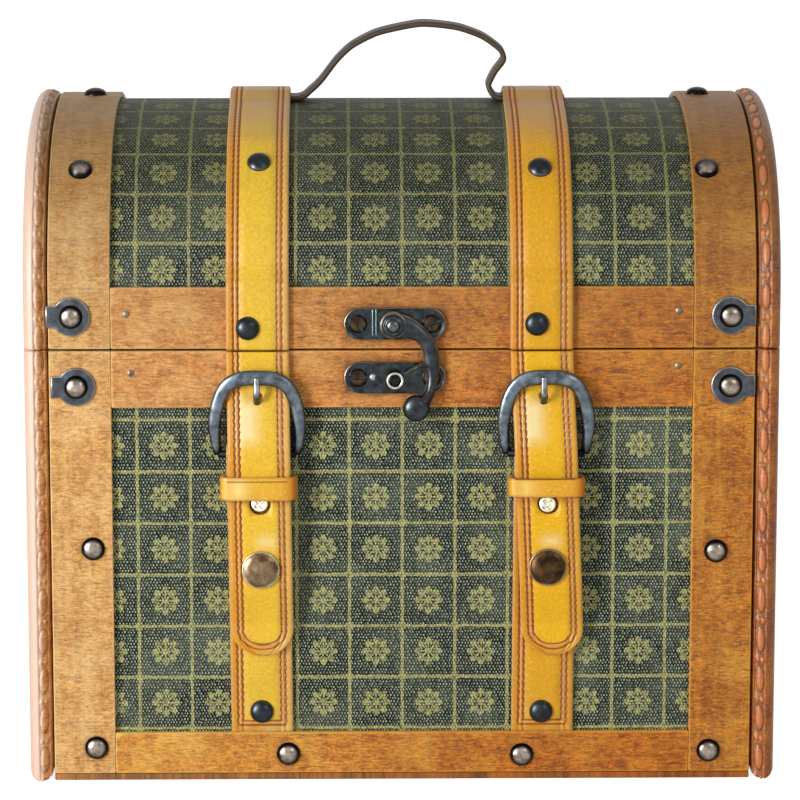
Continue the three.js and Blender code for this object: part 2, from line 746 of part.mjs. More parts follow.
// Prong: an eye round the heel bar and a tongue through the tail that rests on the top bar
function prong() {
  const eye = heelRadius + 2 * clearance;
  const ring = new THREE.Shape().absarc(heelOffset, heelHeight, eye + prongThickness / 2, 0,
    2 * Math.PI);
  ring.holes.push(new THREE.Path().absarc(heelOffset, heelHeight,
    heelRadius + clearance / 2, 0, 2 * Math.PI));
  const top = heelHeight + buckleHeight;
  const onBar = topBarOffset + buckleThickness / 2 + clearance;
  const behind = heelOffset - prongThickness / 2;
  const tongue = ribbonShape([
    [onBar, top - prongTip],
    [onBar, top - topBarWidth / 2],
    [behind, top - prongSlot[1] + prongThickness],
    [behind, heelHeight + eye],
  ], prongThickness);
  return joined(sideExtrusion(ring, prongWidth, 8), sideExtrusion(tongue, prongWidth));
}

// Keeper: a leather loop round the strap and the tail
function keeper() {
  const inside = strapHalf + keeperSideSpace;
  const outside = inside + keeperThickness;
  const back = keeperBack;
  const front = tailOverFlap + strapThickness + clearance + keeperThickness;
  const r = keeperCorner;
  const outline = new THREE.Shape();
  outline.moveTo(-outside + r, back);
  outline.lineTo(outside - r, back);
  outline.absarc(outside - r, back + r, r, -Math.PI / 2, 0, false);
  outline.absarc(outside - r, front - r, r, 0, Math.PI / 2, false);
  outline.absarc(-outside + r, front - r, r, Math.PI / 2, Math.PI, false);
  outline.absarc(-outside + r, back + r, r, Math.PI, 1.5 * Math.PI, false);
  outline.holes.push(polygon([
    [-inside, back + keeperThickness], [-inside, front - keeperThickness],
    [inside, front - keeperThickness], [inside, back + keeperThickness],
  ]));
  const middle = seamHeight - keeperDrop;
  return levelExtrusion(outline, middle - keeperHeight / 2, middle + keeperHeight / 2, 3);
}

function strapScrew() {
  const under = flapFace + seat;
  return turned([
    [0, under - screwLength],
    [screwShankRadius, under - screwLength],
    [screwShankRadius, under],
    [screwHeadRadius, under],
    [screwHeadRadius, under + screwHeadHeight / 2],
    [screwHeadRadius * 0.7, under + screwHeadHeight],
    [0, under + screwHeadHeight],
  ]);
}

function snapStud() {
  const foot = lowerFace + seat;
  const top = foot + studFlangeHeight + studHeight;
  return turned([
    [0, foot],
    [studFlangeRadius, foot],
    [studFlangeRadius, foot + studFlangeHeight],
    [studRadius, foot + studFlangeHeight],
    [studRadius, top - snapEngagement],
    [studRadius * 0.7, top - snapEngagement / 3],
    [0, top],
  ]);
}

function snapCap() {
  const under = tailOverSnap + strapThickness + clearance;
  return turned([
    [0, snapPlate],
    [snapRingBore, snapPlate],
    [snapRingBore, snapRingLow],
    [snapRingRadius, snapRingLow],
    [snapRingRadius, snapPlate + snapFloor],
    [snapPostRadius, snapPlate + snapFloor],
    [snapPostRadius, under],
    [snapCapRadius, under],
    [snapCapRadius, under + snapCapHeight * 0.3],
    [snapCapRadius * 0.8, under + snapCapHeight * 0.75],
    [snapCapRadius * 0.4, under + snapCapHeight * 0.95],
    [0, under + snapCapHeight],
  ], 20);
}

for (const [name, group] of Object.entries(strapGroups)) {
  piece(`upper_strap_${name}`, upperStrap(), paint.strapLeather, group);
  piece(`lower_strap_${name}`, lowerStrap(), paint.strapLeather, group);
  piece(`strap_tail_${name}`, tail(), paint.strapLeather, group);
  piece(`keeper_${name}`, keeper(), paint.strapLeather, group);
  piece(`buckle_frame_${name}`, buckleFrame(), paint.gunmetal, group);
  piece(`buckle_prong_${name}`, prong(), paint.gunmetal, group);
  const atDrop = (mesh, drop) => mesh.position.setZ(seamHeight - drop);
  atDrop(piece(`strap_screw_${name}`, strapScrew(), paint.steel, group), screwDrop);
  atDrop(piece(`snap_stud_${name}`, snapStud(), paint.steel, group), snapDrop);
  atDrop(piece(`snap_cap_${name}`, snapCap(), paint.bronze, group), snapDrop);
}

// Clasp: two long plates, a hook that turns on a rivet, and a mushroom stud for its notch
const clasp = groupAt(claspCentre);
const pivotHeight = seamHeight + pivotRise;
const catchHeight = seamHeight - catchDrop;
const plateBack = stripFace + seat;
const plateFace = plateBack + claspPlateThickness;
const hookBack = plateFace + clearance;
const hookFace = hookBack + hookThickness;

function claspPlate(height, ribs) {
  const r = claspPlateHeight / 2;
  const reach = claspPlateLength / 2 - r;
  const shape = new THREE.Shape();
  shape.absarc(reach, height, r, -Math.PI / 2, Math.PI / 2, false);
  shape.absarc(-reach, height, r, Math.PI / 2, 1.5 * Math.PI, false);
  const screw = (x) => {
    const head = new THREE.Shape().absarc(x, height, claspScrewRadius, 0, 2 * Math.PI);
    return frontExtrusion(head, plateBack, plateFace + claspScrewRise, 6);
  };
  const screwAt = claspPlateLength / 2 - claspScrewInset;
  const bars = ribs.map((x) => block([x - claspRibWidth / 2, x + claspRibWidth / 2],
    [-halfDepth - plateFace - claspRibRise, -halfDepth - plateBack],
    [height - r + claspRibRise, height + r - claspRibRise]));
  return joined(frontExtrusion(shape, plateBack, plateFace, 10),
    screw(-screwAt), screw(screwAt), ...bars);
}
const roundHole = (radius, height) => turned([
  [0, 0], [radius, 0], [radius, hookFace + overrun], [0, hookFace + overrun],
], 16).translate(0, 0, height);

piece('latch_plate', cut(claspPlate(pivotHeight, [-claspRibOffset, claspRibWidth - claspRibOffset]),
  roundHole(pivotRadius + clearance / 2, pivotHeight)), paint.gunmetal, clasp);
piece('catch_plate', cut(claspPlate(catchHeight, []),
  roundHole(catchFootRadius + clearance / 2, catchHeight)), paint.gunmetal, clasp);

const pivot = piece('latch_pivot', turned([
  [0, plateBack],
  [pivotRadius, plateBack],
  [pivotRadius, hookFace + clearance],
  [pivotHeadRadius, hookFace + clearance],
  [pivotHeadRadius * 0.85, hookFace + clearance + pivotHeadRise * 0.6],
  [pivotHeadRadius * 0.5, hookFace + clearance + pivotHeadRise * 0.9],
  [0, hookFace + clearance + pivotHeadRise],
], 16), paint.gunmetal, clasp);
pivot.position.z = pivotHeight;

const stud = piece('catch_stud', turned([
  [0, plateBack],
  [catchFootRadius, plateBack],
  [catchFootRadius, plateFace],
  [catchNeckRadius, plateFace],
  [catchNeckRadius, hookFace + clearance],
  [catchHeadRadius, hookFace + clearance],
  [catchHeadRadius, hookFace + clearance + catchHeadHeight],
  [catchHeadRadius * 0.7, hookFace + clearance + catchHeadHeight],
  [0, hookFace + clearance + catchHeadHeight - catchDish],
], 16), paint.steel, clasp);
stud.position.z = catchHeight;

// The hook hangs from its pivot, with its ball end below and to the right. Its outline is given
// as shares of its reach, and its notch is the path of the stud's neck as the hook turns.
const hookHeadStart = degrees(50);
const hookHeadEnd = degrees(-88);
const hookBallWrap = degrees(100);
const notchSteps = 12;
const ballShare = [0.254, -0.967]; // of the reach
const outerEdgeShares = [
  [0.287, 0.024], [0.409, -0.119], [0.484, -0.281], [0.512, -0.427],
  [0.502, -0.569], [0.466, -0.694], [0.412, -0.808],
];
const ballTopShares = [[0.281, -0.834], [0.342, -0.752], [0.346, -0.640], [0.143, -0.590]];
const barbShares = [[0.128, -0.556], [0.151, -0.52], [0.256, -0.466]];
const innerEdgeShares = [[0.327, -0.413], [0.331, -0.338], [0.295, -0.246], [0.238, -0.178]];
function hook() {
  const place = ([x, z]) => new THREE.Vector2(x * hookReach, z * hookReach);
  const ball = place(ballShare);
  const outline = new THREE.Shape();
  outline.absarc(0, 0, hookHeadRadius, hookHeadEnd, hookHeadStart, true);
  outline.splineThru(outerEdgeShares.map(place));
  outline.lineTo(ball.x + hookBallRadius, ball.y);
  outline.absarc(ball.x, ball.y, hookBallRadius, 0, hookBallWrap, true);
  for (const point of ballTopShares.map(place)) outline.lineTo(point.x, point.y);
  for (const point of barbShares.map(place)) outline.lineTo(point.x, point.y);
  outline.splineThru(innerEdgeShares.map(place));
  const flat = frontExtrusion(outline, hookBack, hookFace, 6);
  const round = new THREE.SphereGeometry(1, 12, 8)
    .scale(hookBallRadius, hookBallDepth, hookBallRadius)
    .translate(ball.x, -halfDepth - hookBack - hookBallDepth, ball.y);
  const reach = pivotRise + catchDrop;
  const rest = -Math.PI / 2;
  const slotHalf = catchNeckRadius + clearance;
  const course = Array.from({ length: notchSteps + 1 }, (_, i) =>
    rest - latchedSwing + 2 * latchedSwing * (i / notchSteps));
  const arc = (radius) => course.map((a) => [radius * Math.cos(a), radius * Math.sin(a)]);
  const slot = polygon([...arc(reach - slotHalf), ...arc(reach + slotHalf).reverse()]);
  const latched = rest + latchedSwing;
  const slotEnd = new THREE.Shape().absarc(reach * Math.cos(latched), reach * Math.sin(latched),
    slotHalf, 0, 2 * Math.PI);
  const bore = new THREE.Shape().absarc(0, 0, pivotRadius + clearance / 2, 0, 2 * Math.PI);
  const tool = (shape, segments) =>
    frontExtrusion(shape, plateFace - overrun, hookFace + overrun, segments);
  return cut(joined(flat, round), tool(slot, 1), tool(slotEnd, 8), tool(bore, 8));
}
piece('latch_hook', hook(), paint.gunmetal, clasp).position.z = pivotHeight;

// Butt hinges on the back rails. Base leaf, lid leaf and the pin staked in the base leaf share
// one axis, which lies level with the seam and just outside the rails.
const hingeOffset = stripFace + seat + knuckleRadius;
const knucklePitch = hingeWidth / knuckleCount;
function knuckles(wanted) {
  return Array.from({ length: knuckleCount }, (_, i) => i).filter((i) => i % 2 === wanted)
    .map((i) => ({
      middle: -hingeWidth / 2 + knucklePitch * (i + 0.5),
      length: knucklePitch - clearance * (i === 0 || i === knuckleCount - 1 ? 0.5 : 1),
    }));
}
function hingeLeaf(wanted, direction) {
  const boreRadius = (pinRadius + pinSlack) / Math.cos(Math.PI / pinSides);
  const low = stripFace + seat;
  const plateStart = knuckleRadius + clearance;
  const y = [-halfDepth - low - hingeLeafThickness, -halfDepth - low];
  const heights = (near) => [seamHeight + direction * near,
    seamHeight + direction * hingeLeafHeight].sort((p, q) => p - q);
  const plate = block([-hingeWidth / 2, hingeWidth / 2], y, heights(plateStart));
  const own = knuckles(wanted).flatMap(({ middle, length }) => [
    rod(knuckleRadius, length, pinSides).translate(middle, -halfDepth - hingeOffset, seamHeight),
    block([middle - length / 2, middle + length / 2], y, heights(seamGap)),
  ]);
  const bore = rod(boreRadius, hingeWidth + overrun, pinSides)
    .translate(0, -halfDepth - hingeOffset, seamHeight);
  return cut(joined(plate, ...own), bore);
}
function hingeWithPin() {
  const pin = rod(pinRadius, hingeWidth, pinSides)
    .translate(0, -halfDepth - hingeOffset, seamHeight);
  const first = knuckles(0)[0];
  const stake = rod((pinRadius + knuckleRadius) / 2, first.length, pinSides)
    .translate(first.middle, -halfDepth - hingeOffset, seamHeight);
  return joined(hingeLeaf(0, -1), pin, stake);
}
for (const [name, x] of [['left', hingeCentre], ['right', -hingeCentre]]) {
  piece(`hinge_base_${name}`, hingeWithPin(), paint.bronze, backGroup).position.x = x;
  piece(`hinge_lid_${name}`, hingeLeaf(1, 1), paint.bronze, backGroup).position.x = x;
}

// The handle: the strip lies flat under both straps and stands up between them in a bent arch,
// higher on the right. Places are shares of half the space between the straps and of the rise.
const handleShares = [
  [-0.84, 0.17], [-0.68, 0.4], [-0.54, 0.64], [-0.35, 0.83], [-0.11, 0.965], [0.2, 1],
  [0.47, 0.985], [0.69, 0.915], [0.87, 0.79], [0.94, 0.645], [0.89, 0.47], [0.835, 0.28],
  [0.875, 0.14],
];
function handle() {
  const inner = strapCentre - strapHalf;
  const outer = strapCentre + strapHalf - leatherSeat;
  const flat = leatherSeat + handleThickness / 2;
  const arch = handleShares.map(([x, rise]) => [x * inner, rise * handleRise]);
  const rim = inner - handleThickness / 2 - leatherSeat;
  const points = [[-outer, flat], [-rim, flat], ...arch, [rim, flat], [outer, flat]];
  const curve = new THREE.CatmullRomCurve3(points.map(([x, h]) => new THREE.Vector3(x, h, 0)),
    false, 'catmullrom', 0.35);
  const course = curve.getPoints(handleSteps).map((p) => [p.x, Math.max(flat, p.y)]);
  const side = (sign) => course.map(([x, h], i) => {
    const [x0, h0] = course[Math.max(0, i - 1)];
    const [x1, h1] = course[Math.min(course.length - 1, i + 1)];
    const length = Math.hypot(x1 - x0, h1 - h0);
    const half = (sign * handleThickness) / 2;
    return [x - (half * (h1 - h0)) / length, h + (half * (x1 - x0)) / length];
  });
  const strip = new THREE.ExtrudeGeometry(polygon([...side(-1), ...side(1).reverse()]),
    { depth: handleWidth, bevelEnabled: false });
  const [y, z] = lidPoint(handleStation, 0);
  return strip.translate(0, 0, -handleWidth / 2).rotateX(Math.PI / 2).translate(0, y, z);
}
piece('handle', handle(), paint.handleLeather);

export default trunk;
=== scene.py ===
import math

import bpy
import numpy as np
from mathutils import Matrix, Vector


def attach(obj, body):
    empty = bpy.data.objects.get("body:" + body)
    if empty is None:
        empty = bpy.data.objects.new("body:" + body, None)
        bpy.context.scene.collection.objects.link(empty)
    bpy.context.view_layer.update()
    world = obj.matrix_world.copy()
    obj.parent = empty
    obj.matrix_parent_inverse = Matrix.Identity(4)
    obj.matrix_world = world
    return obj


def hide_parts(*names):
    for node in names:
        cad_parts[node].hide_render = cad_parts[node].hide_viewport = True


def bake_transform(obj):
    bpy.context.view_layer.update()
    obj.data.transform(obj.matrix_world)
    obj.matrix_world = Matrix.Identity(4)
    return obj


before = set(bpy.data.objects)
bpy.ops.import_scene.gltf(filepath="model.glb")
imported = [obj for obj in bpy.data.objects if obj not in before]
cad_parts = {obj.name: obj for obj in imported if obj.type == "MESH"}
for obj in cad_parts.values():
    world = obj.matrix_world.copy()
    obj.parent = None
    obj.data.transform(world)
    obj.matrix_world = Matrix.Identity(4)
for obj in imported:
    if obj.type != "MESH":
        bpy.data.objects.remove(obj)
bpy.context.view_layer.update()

# The camera stands well back and a little above the lid, just left of the middle, and looks
# slightly down and to the right, as a product photograph is taken. Lengths here are in metres.
camera_place = (-0.01940, -1.39506, 0.37819)
camera_pitch = math.radians(10.855)
camera_yaw = math.radians(0.8113)
camera_lens = 188.84
camera_sensor = 36.0
camera_data = bpy.data.cameras.new("camera")
camera_data.lens = camera_lens
camera_data.sensor_width = camera_sensor
camera = bpy.data.objects.new("camera", camera_data)
camera.location = camera_place
camera.rotation_euler = (math.pi / 2 - camera_pitch, 0, -camera_yaw)
bpy.context.collection.objects.link(camera)
bpy.context.scene.camera = camera
bpy.context.scene.view_settings.view_transform = "Standard"

# The light of a tall window on the left, which throws the shadows to the right and leaves the
# crown dim, a weaker lamp high on the right, and a narrow lamp at the left that shows only as
# a glint on metal and leather. Sizes are width and height, powers in watts.
world_level = 0.3
key_lamp = ("key", (-0.85, -0.95, 0.4), (0.22, 0.8), 11.5)
fill_lamp = ("fill", (0.75, -1.25, 0.75), (0.2, 0.3), 3.4)
glint_lamp = ("glint", (-1.0, -0.8, 0.27), (0.1, 0.54), 26.0)
lamp_aim = (0, 0, 0.12)
for name, place, size, power in (key_lamp, fill_lamp, glint_lamp):
    lamp = bpy.data.lights.new(name, "AREA")
    lamp.shape = "RECTANGLE"
    lamp.size, lamp.size_y = size
    lamp.energy = power
    holder = bpy.data.objects.new(name, lamp)
    holder.visible_diffuse = name != "glint"
    holder.location = place
    aim = Vector(lamp_aim) - Vector(place)
    holder.rotation_euler = aim.to_track_quat("-Z", "Y").to_euler()
    bpy.context.collection.objects.link(holder)


def node(tree, kind, inputs=None, **settings):
    """Adds a shader node, with its settings, and sets or links its inputs."""
    made = tree.nodes.new(kind)
    for key, value in settings.items():
        setattr(made, key, value)
    for key, value in (inputs or {}).items():
        if isinstance(value, bpy.types.NodeSocket):
            tree.links.new(value, made.inputs[key])
        else:
            made.inputs[key].default_value = value
    return made


def calc(tree, operation, *values, use_clamp=False):
    """The result of a Math node."""
    return node(tree, "ShaderNodeMath", dict(enumerate(values)), operation=operation,
                use_clamp=use_clamp).outputs[0]


def times(tree, first, second):
    """The product of two values."""
    return calc(tree, "MULTIPLY", first, second)


def plus(tree, first, second):
    """The sum of two values."""
    return calc(tree, "ADD", first, second)


def minus(tree, first, second):
    """The first value less the second."""
    return calc(tree, "SUBTRACT", first, second)


def over(tree, first, second):
    """The first value divided by the second."""
    return calc(tree, "DIVIDE", first, second)


def colour(red, green, blue):
    """A colour given as 8 bit display values, as the linear values that a shader takes."""
    shares = np.array([red, green, blue]) / 255
    linear = np.where(shares < 0.04045, shares / 12.92, ((shares + 0.055) / 1.055) ** 2.4)
    return (*linear.tolist(), 1.0)


white = colour(255, 255, 255)
world = bpy.data.worlds.new("studio")
world.use_nodes = True
bpy.context.scene.world = world
tree = world.node_tree
tree.nodes.clear()


def seen_directly(tree):
    """1 for rays from the camera or off gloss and glass, 0 for the rays that light things."""
    path = node(tree, "ShaderNodeLightPath").outputs
    shown = calc(tree, "MAXIMUM", path["Is Camera Ray"], path["Is Glossy Ray"])
    return calc(tree, "MAXIMUM", shown, path["Is Transmission Ray"])


room = node(tree, "ShaderNodeBackground", {"Color": white, "Strength": world_level})
shown = node(tree, "ShaderNodeBackground", {"Color": white, "Strength": 1.0})
either = node(tree, "ShaderNodeMixShader", {0: seen_directly(tree), 1: room.outputs[0],
                                             2: shown.outputs[0]})
node(tree, "ShaderNodeOutputWorld", {"Surface": either.outputs[0]})

# The floor is a wide pale sheet of paper. It glows a little, so that it shows as white and
# keeps only a soft shadow of the trunk.
floor_reach = 3.0
floor_glow = 0.85
floor_paint = bpy.data.materials.new("floor")
floor_paint.use_nodes = True
tree = floor_paint.node_tree
tree.nodes.clear()
matt = node(tree, "ShaderNodeBsdfDiffuse", {"Color": colour(232, 232, 232)})
glow = node(tree, "ShaderNodeEmission",
            {"Color": white, "Strength": times(tree, seen_directly(tree), floor_glow)})
both = node(tree, "ShaderNodeAddShader", {0: matt.outputs[0], 1: glow.outputs[0]})
node(tree, "ShaderNodeOutputMaterial", {"Surface": both.outputs[0]})
floor_mesh = bpy.data.meshes.new("floor")
floor_mesh.from_pydata([(-floor_reach, -floor_reach, 0), (floor_reach, -floor_reach, 0),
                        (floor_reach, floor_reach, 0), (-floor_reach, floor_reach, 0)], [],
                       [(0, 1, 2, 3)])
floor_mesh.materials.append(floor_paint)
floor = bpy.data.objects.new("floor", floor_mesh)
bpy.context.collection.objects.link(floor)

# Bottom board, front and back boards, end boards and the lid's bent shell: plain light wood,
# sawn and unpainted, seen on the inside and as a rough edge under the foot rail.
# From here on lengths are in millimetres, and a mesh is turned into metres when it is made.
MILLIMETRE = 0.001
half_width = 120.8
half_depth = 76.0
seam_height = 142.0
seam_gap = 0.7
seat = 0.2
spring_height = 15.0
shoulder_radius = 52.0
crown_lean = math.radians(16.6)
crown_radius = shoulder_radius + (half_depth - shoulder_radius) / math.sin(crown_lean)
crown_drop = (crown_radius - shoulder_radius) * math.cos(crown_lean)
shoulder_arc = shoulder_radius * (math.pi / 2 - crown_lean)
crown_arc = crown_radius * crown_lean
outline_length = 2 * (spring_height + shoulder_arc + crown_arc)
strip_thickness = 2.0
strip_face = seat + strip_thickness


def lid_place(distance, offset):
    """Follows the lid's outline from the front seam: straight up, round the shoulder's arc,
    over the wide crown's arc and down again, an offset outside the canvas."""
    side = np.where(distance <= outline_length / 2, -1.0, 1.0)
    run = np.minimum(distance, outline_length - distance)
    turn = run - spring_height
    on_shoulder = np.pi / 2 - turn / shoulder_radius
    on_crown = crown_lean - (turn - shoulder_arc) / crown_radius
    wide = shoulder_radius + offset
    big = crown_radius + offset
    spring = seam_height + spring_height
    parts = [turn <= 0, turn <= shoulder_arc]
    out = np.select(parts, [half_depth + offset,
                            half_depth - shoulder_radius + wide * np.sin(on_shoulder)],
                    big * np.sin(on_crown))
    height = np.select(parts, [seam_height + run, spring + wide * np.cos(on_shoulder)],
                       spring - crown_drop + big * np.cos(on_crown))
    return side * out, height


def front_place(height, offset):
    """A place on the upright front, at a height and an offset outside the canvas."""
    return -half_depth - offset, height


def back_place(height, offset):
    """A place on the upright back, at a height and an offset outside the canvas."""
    return half_depth + offset, height


def evenly(low, high, pitch):
    """Stations from low to high, about a pitch apart."""
    return np.linspace(low, high, max(1, round((high - low) / pitch)) + 1)


def add_piece(name, points, faces, body, paint, stands_for=(), uv=None, edge=None,
              bevel=0, smooth=True):
    """Makes one object of points in millimetres, with its faces turned outwards, and joins it
    to its body."""
    mesh = bpy.data.meshes.new(name)
    points = np.asarray(points, float).reshape(-1, 3)
    mesh.from_pydata((points * MILLIMETRE).tolist(), [], [list(map(int, f)) for f in faces])
    mesh.calc_loop_triangles()
    corners = np.empty(len(mesh.loop_triangles) * 3, np.int32)
    mesh.loop_triangles.foreach_get("vertices", corners)
    a, b, c = points[corners.reshape(-1, 3)].transpose(1, 0, 2)
    if np.einsum("ij,ij->i", a, np.cross(b, c)).sum() < 0:
        mesh.flip_normals()
    loops = np.empty(len(mesh.loops), np.int32)
    mesh.loops.foreach_get("vertex_index", loops)
    if uv is not None:
        flat = np.asarray(uv, float).reshape(-1, 2)
        mesh.uv_layers.new(name="surface").data.foreach_set("uv", flat[loops].ravel())
    if edge is not None:
        mesh.attributes.new("edge", "FLOAT", "POINT").data.foreach_set(
            "value", np.asarray(edge, float).ravel())
    mesh.polygons.foreach_set("use_smooth", np.full(len(mesh.polygons), smooth))
    mesh.materials.append(paint)
    piece = bpy.data.objects.new(name, mesh)
    bpy.context.collection.objects.link(piece)
    if bevel:
        round_off = piece.modifiers.new("rounded edges", "BEVEL")
        round_off.width = bevel * MILLIMETRE
        round_off.segments = 2
        round_off.limit_method = "ANGLE"
        round_off.angle_limit = math.radians(40)
        round_off.harden_normals = True
    if body:
        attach(piece, body)
    if stands_for:
        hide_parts(*stands_for)
    return piece


def slab(place, stations, across, top, bottom, spread=None, holes=(), ends=True):
    """A strip that follows a path: the offsets of its top and bottom over a row of places
    across it are carried to every station. Spread scales a station's width. A hole is
    (first station, last station, first column, last column, radius), round if it has a
    radius. Without ends, only the two long sides count as edges. Returns points, faces, surface
    places and distances to the edge."""
    across, stations = np.asarray(across, float), np.asarray(stations, float)
    rows, columns = len(stations), len(across)
    spread = np.ones(rows) if spread is None else spread
    x = across[None, :] * spread[:, None]
    s = np.repeat(stations[:, None], columns, 1)
    layers = []
    for offsets in (top, bottom):
        offsets = np.broadcast_to(offsets, (rows, columns))
        y, z = place(s, offsets)
        layers.append(np.stack([x + 0 * y, y, z], -1).reshape(-1, 3))
    inset = np.minimum(x - x[:, :1], x[:, -1:] - x)
    if ends:
        inset = np.minimum.reduce([inset, s - stations[0], stations[-1] - s])
    points = list(layers)
    uv = [np.stack([x, s], -1).reshape(-1, 2)] * 2
    edge = [inset.ravel(), np.zeros(rows * columns)]
    index = np.arange(rows * columns).reshape(rows, columns)
    under = rows * columns
    keep = np.ones((rows - 1, columns - 1), bool)
    faces = []
    count = 2 * under
    for i0, i1, j0, j1, radius in holes:
        keep[i0:i1, j0:j1] = False
        rim = np.concatenate([index[i0, j0:j1], index[i0:i1, j1], index[i1, j1:j0:-1],
                              index[i1:i0:-1, j0]])
        ahead = np.roll(rim, -1)
        if not radius:
            faces += list(zip(rim, ahead, ahead + under, rim + under))
            continue
        flat = np.stack([x.ravel()[rim], s.ravel()[rim]], -1)
        middle = (flat.min(0) + flat.max(0)) / 2
        ray = flat - middle
        circle = middle + radius * ray / np.linalg.norm(ray, axis=1)[:, None]
        column = (j0 + j1) // 2
        ring = []
        for offsets, rim_edge in ((top, inset.ravel()[rim]), (bottom, np.zeros(len(rim)))):
            level = np.broadcast_to(offsets, (rows, columns))[(i0 + i1) // 2, column]
            y, z = place(circle[:, 1], np.full(len(rim), level))
            points.append(np.stack([circle[:, 0], y, z], -1))
            uv.append(circle)
            edge.append(rim_edge)
            ring.append(count + np.arange(len(rim)))
            count += len(rim)
        after = [np.roll(r, -1) for r in ring]
        faces += list(zip(rim, ahead, after[0], ring[0]))
        faces += list(zip(rim + under, ring[1], after[1], ahead + under))
        faces += list(zip(ring[0], after[0], after[1], ring[1]))
    a, b, c, d = (index[:-1, :-1][keep], index[:-1, 1:][keep], index[1:, 1:][keep],
                  index[1:, :-1][keep])
    faces += list(zip(a, b, c, d))
    faces += list(zip(a + under, d + under, c + under, b + under))
    loop = np.concatenate([index[0, :-1], index[:-1, -1], index[-1, :0:-1], index[:0:-1, 0]])
    ahead = np.roll(loop, -1)
    faces += list(zip(loop, loop + under, ahead + under, ahead))
    return (np.concatenate(points), faces, np.concatenate(uv), np.concatenate(edge))


def new_material(name):
    """An empty node material with its output's shader to fill in."""
    made = bpy.data.materials.new(name)
    made.use_nodes = True
    made.node_tree.nodes.clear()
    return made, made.node_tree


def finish(tree, base, roughness, height=None, depth=0.0, metallic=0.0, coat=0.0,
           coat_roughness=0.3, specular=0.5):
    """The Principled shader of a material, with its relief as a bump in metres."""
    inputs = {"Base Color": base, "Roughness": roughness, "Metallic": metallic,
              "Coat Weight": coat, "Coat Roughness": coat_roughness,
              "Specular IOR Level": specular}
    if height is not None:
        inputs["Normal"] = node(tree, "ShaderNodeBump", {"Height": height, "Strength": 1.0,
                                "Distance": depth * MILLIMETRE}).outputs[0]
    shader = node(tree, "ShaderNodeBsdfPrincipled", inputs)
    node(tree, "ShaderNodeOutputMaterial", {"Surface": shader.outputs[0]})


def mixed(tree, share, first, second, mode="MIX"):
    """Two colours mixed by a share."""
    return node(tree, "ShaderNodeMix", {0: share, 6: first, 7: second}, data_type="RGBA",
                blend_type=mode).outputs[2]


def ramp(tree, value, *stops):
    """A value passed through stops of (place, level)."""
    made = node(tree, "ShaderNodeValToRGB", {"Fac": value})
    points = made.color_ramp.elements
    while len(points) < len(stops):
        points.new(0.5)
    for point, (place, level) in zip(points, stops):
        point.position = place
        point.color = (level, level, level, 1)
    return made.outputs[0]


def object_place(tree):
    """The x, y and z of a place, in metres."""
    here = node(tree, "ShaderNodeTexCoord").outputs["Object"]
    return node(tree, "ShaderNodeSeparateXYZ", {0: here}).outputs


def edge_distance(tree):
    """How far a place lies from its piece's edge, in millimetres."""
    return node(tree, "ShaderNodeAttribute", attribute_name="edge").outputs["Fac"]


def fading(tree, value, start, end, first=0.0, last=1.0):
    """A share that goes evenly from first to last while a value goes from start to end."""
    return node(tree, "ShaderNodeMapRange", {"Value": value, "From Min": start, "From Max": end,
                "To Min": first, "To Max": last}, clamp=True).outputs[0]


def coated(tree, tone, *coats):
    """Lays coats over a tone, each given as (value, where the coat is bare, where it covers
    fully, strength, colour)."""
    for value, bare, full, strength, coat in coats:
        cover = ramp(tree, value, *sorted(((bare, 0), (full, 1))))
        tone = mixed(tree, times(tree, cover, strength), tone, coat)
    return tone


def surface_place(tree, scale=(1, 1, 1), shift=(0, 0, 0)):
    """The place on the surface, in millimetres times a scale for each direction."""
    here = node(tree, "ShaderNodeUVMap", uv_map="surface").outputs[0]
    return node(tree, "ShaderNodeMapping", {"Vector": here, "Scale": scale, "Location": shift}
                ).outputs[0]


def noise(tree, place, scale, detail=4.0, roughness=0.6, distortion=0.0):
    """A noise texture's value."""
    return node(tree, "ShaderNodeTexNoise", {
        "Vector": place, "Scale": scale, "Detail": detail, "Roughness": roughness,
        "Distortion": distortion}).outputs[0]


def look(name, inputs, outputs):
    """A shader node group with named inputs, each with its first value, and named outputs."""
    group = bpy.data.node_groups.new(name, "ShaderNodeTree")
    for label, value in inputs.items():
        kind = "NodeSocketColor" if isinstance(value, tuple) else "NodeSocketFloat"
        group.interface.new_socket(label, in_out="INPUT", socket_type=kind).default_value = value
    for label, kind in outputs.items():
        group.interface.new_socket(label, in_out="OUTPUT", socket_type="NodeSocket" + kind)
    return group, node(group, "NodeGroupInput").outputs


def placed_look(tree, group, **inputs):
    """The outputs of a node group placed in a material with its own values."""
    return node(tree, "ShaderNodeGroup", inputs, node_tree=group).outputs


edge_wear, given = look("edge_wear", {"Reach": 0.9}, {"Share": "Float"})
tree = edge_wear
ragged = noise(tree, surface_place(tree), 0.6)
limit = times(tree, times(tree, ragged, 2.0), given["Reach"])
near_edge = fading(tree, over(tree, edge_distance(tree), limit), 0.0, 1.0, 1.0, 0.0)
node(tree, "NodeGroupOutput", {"Share": near_edge})


def worn_edge(tree, reach):
    """1 at an edge and 0 about a reach away from it, broken up by noise."""
    return placed_look(tree, edge_wear, Reach=reach)[0]


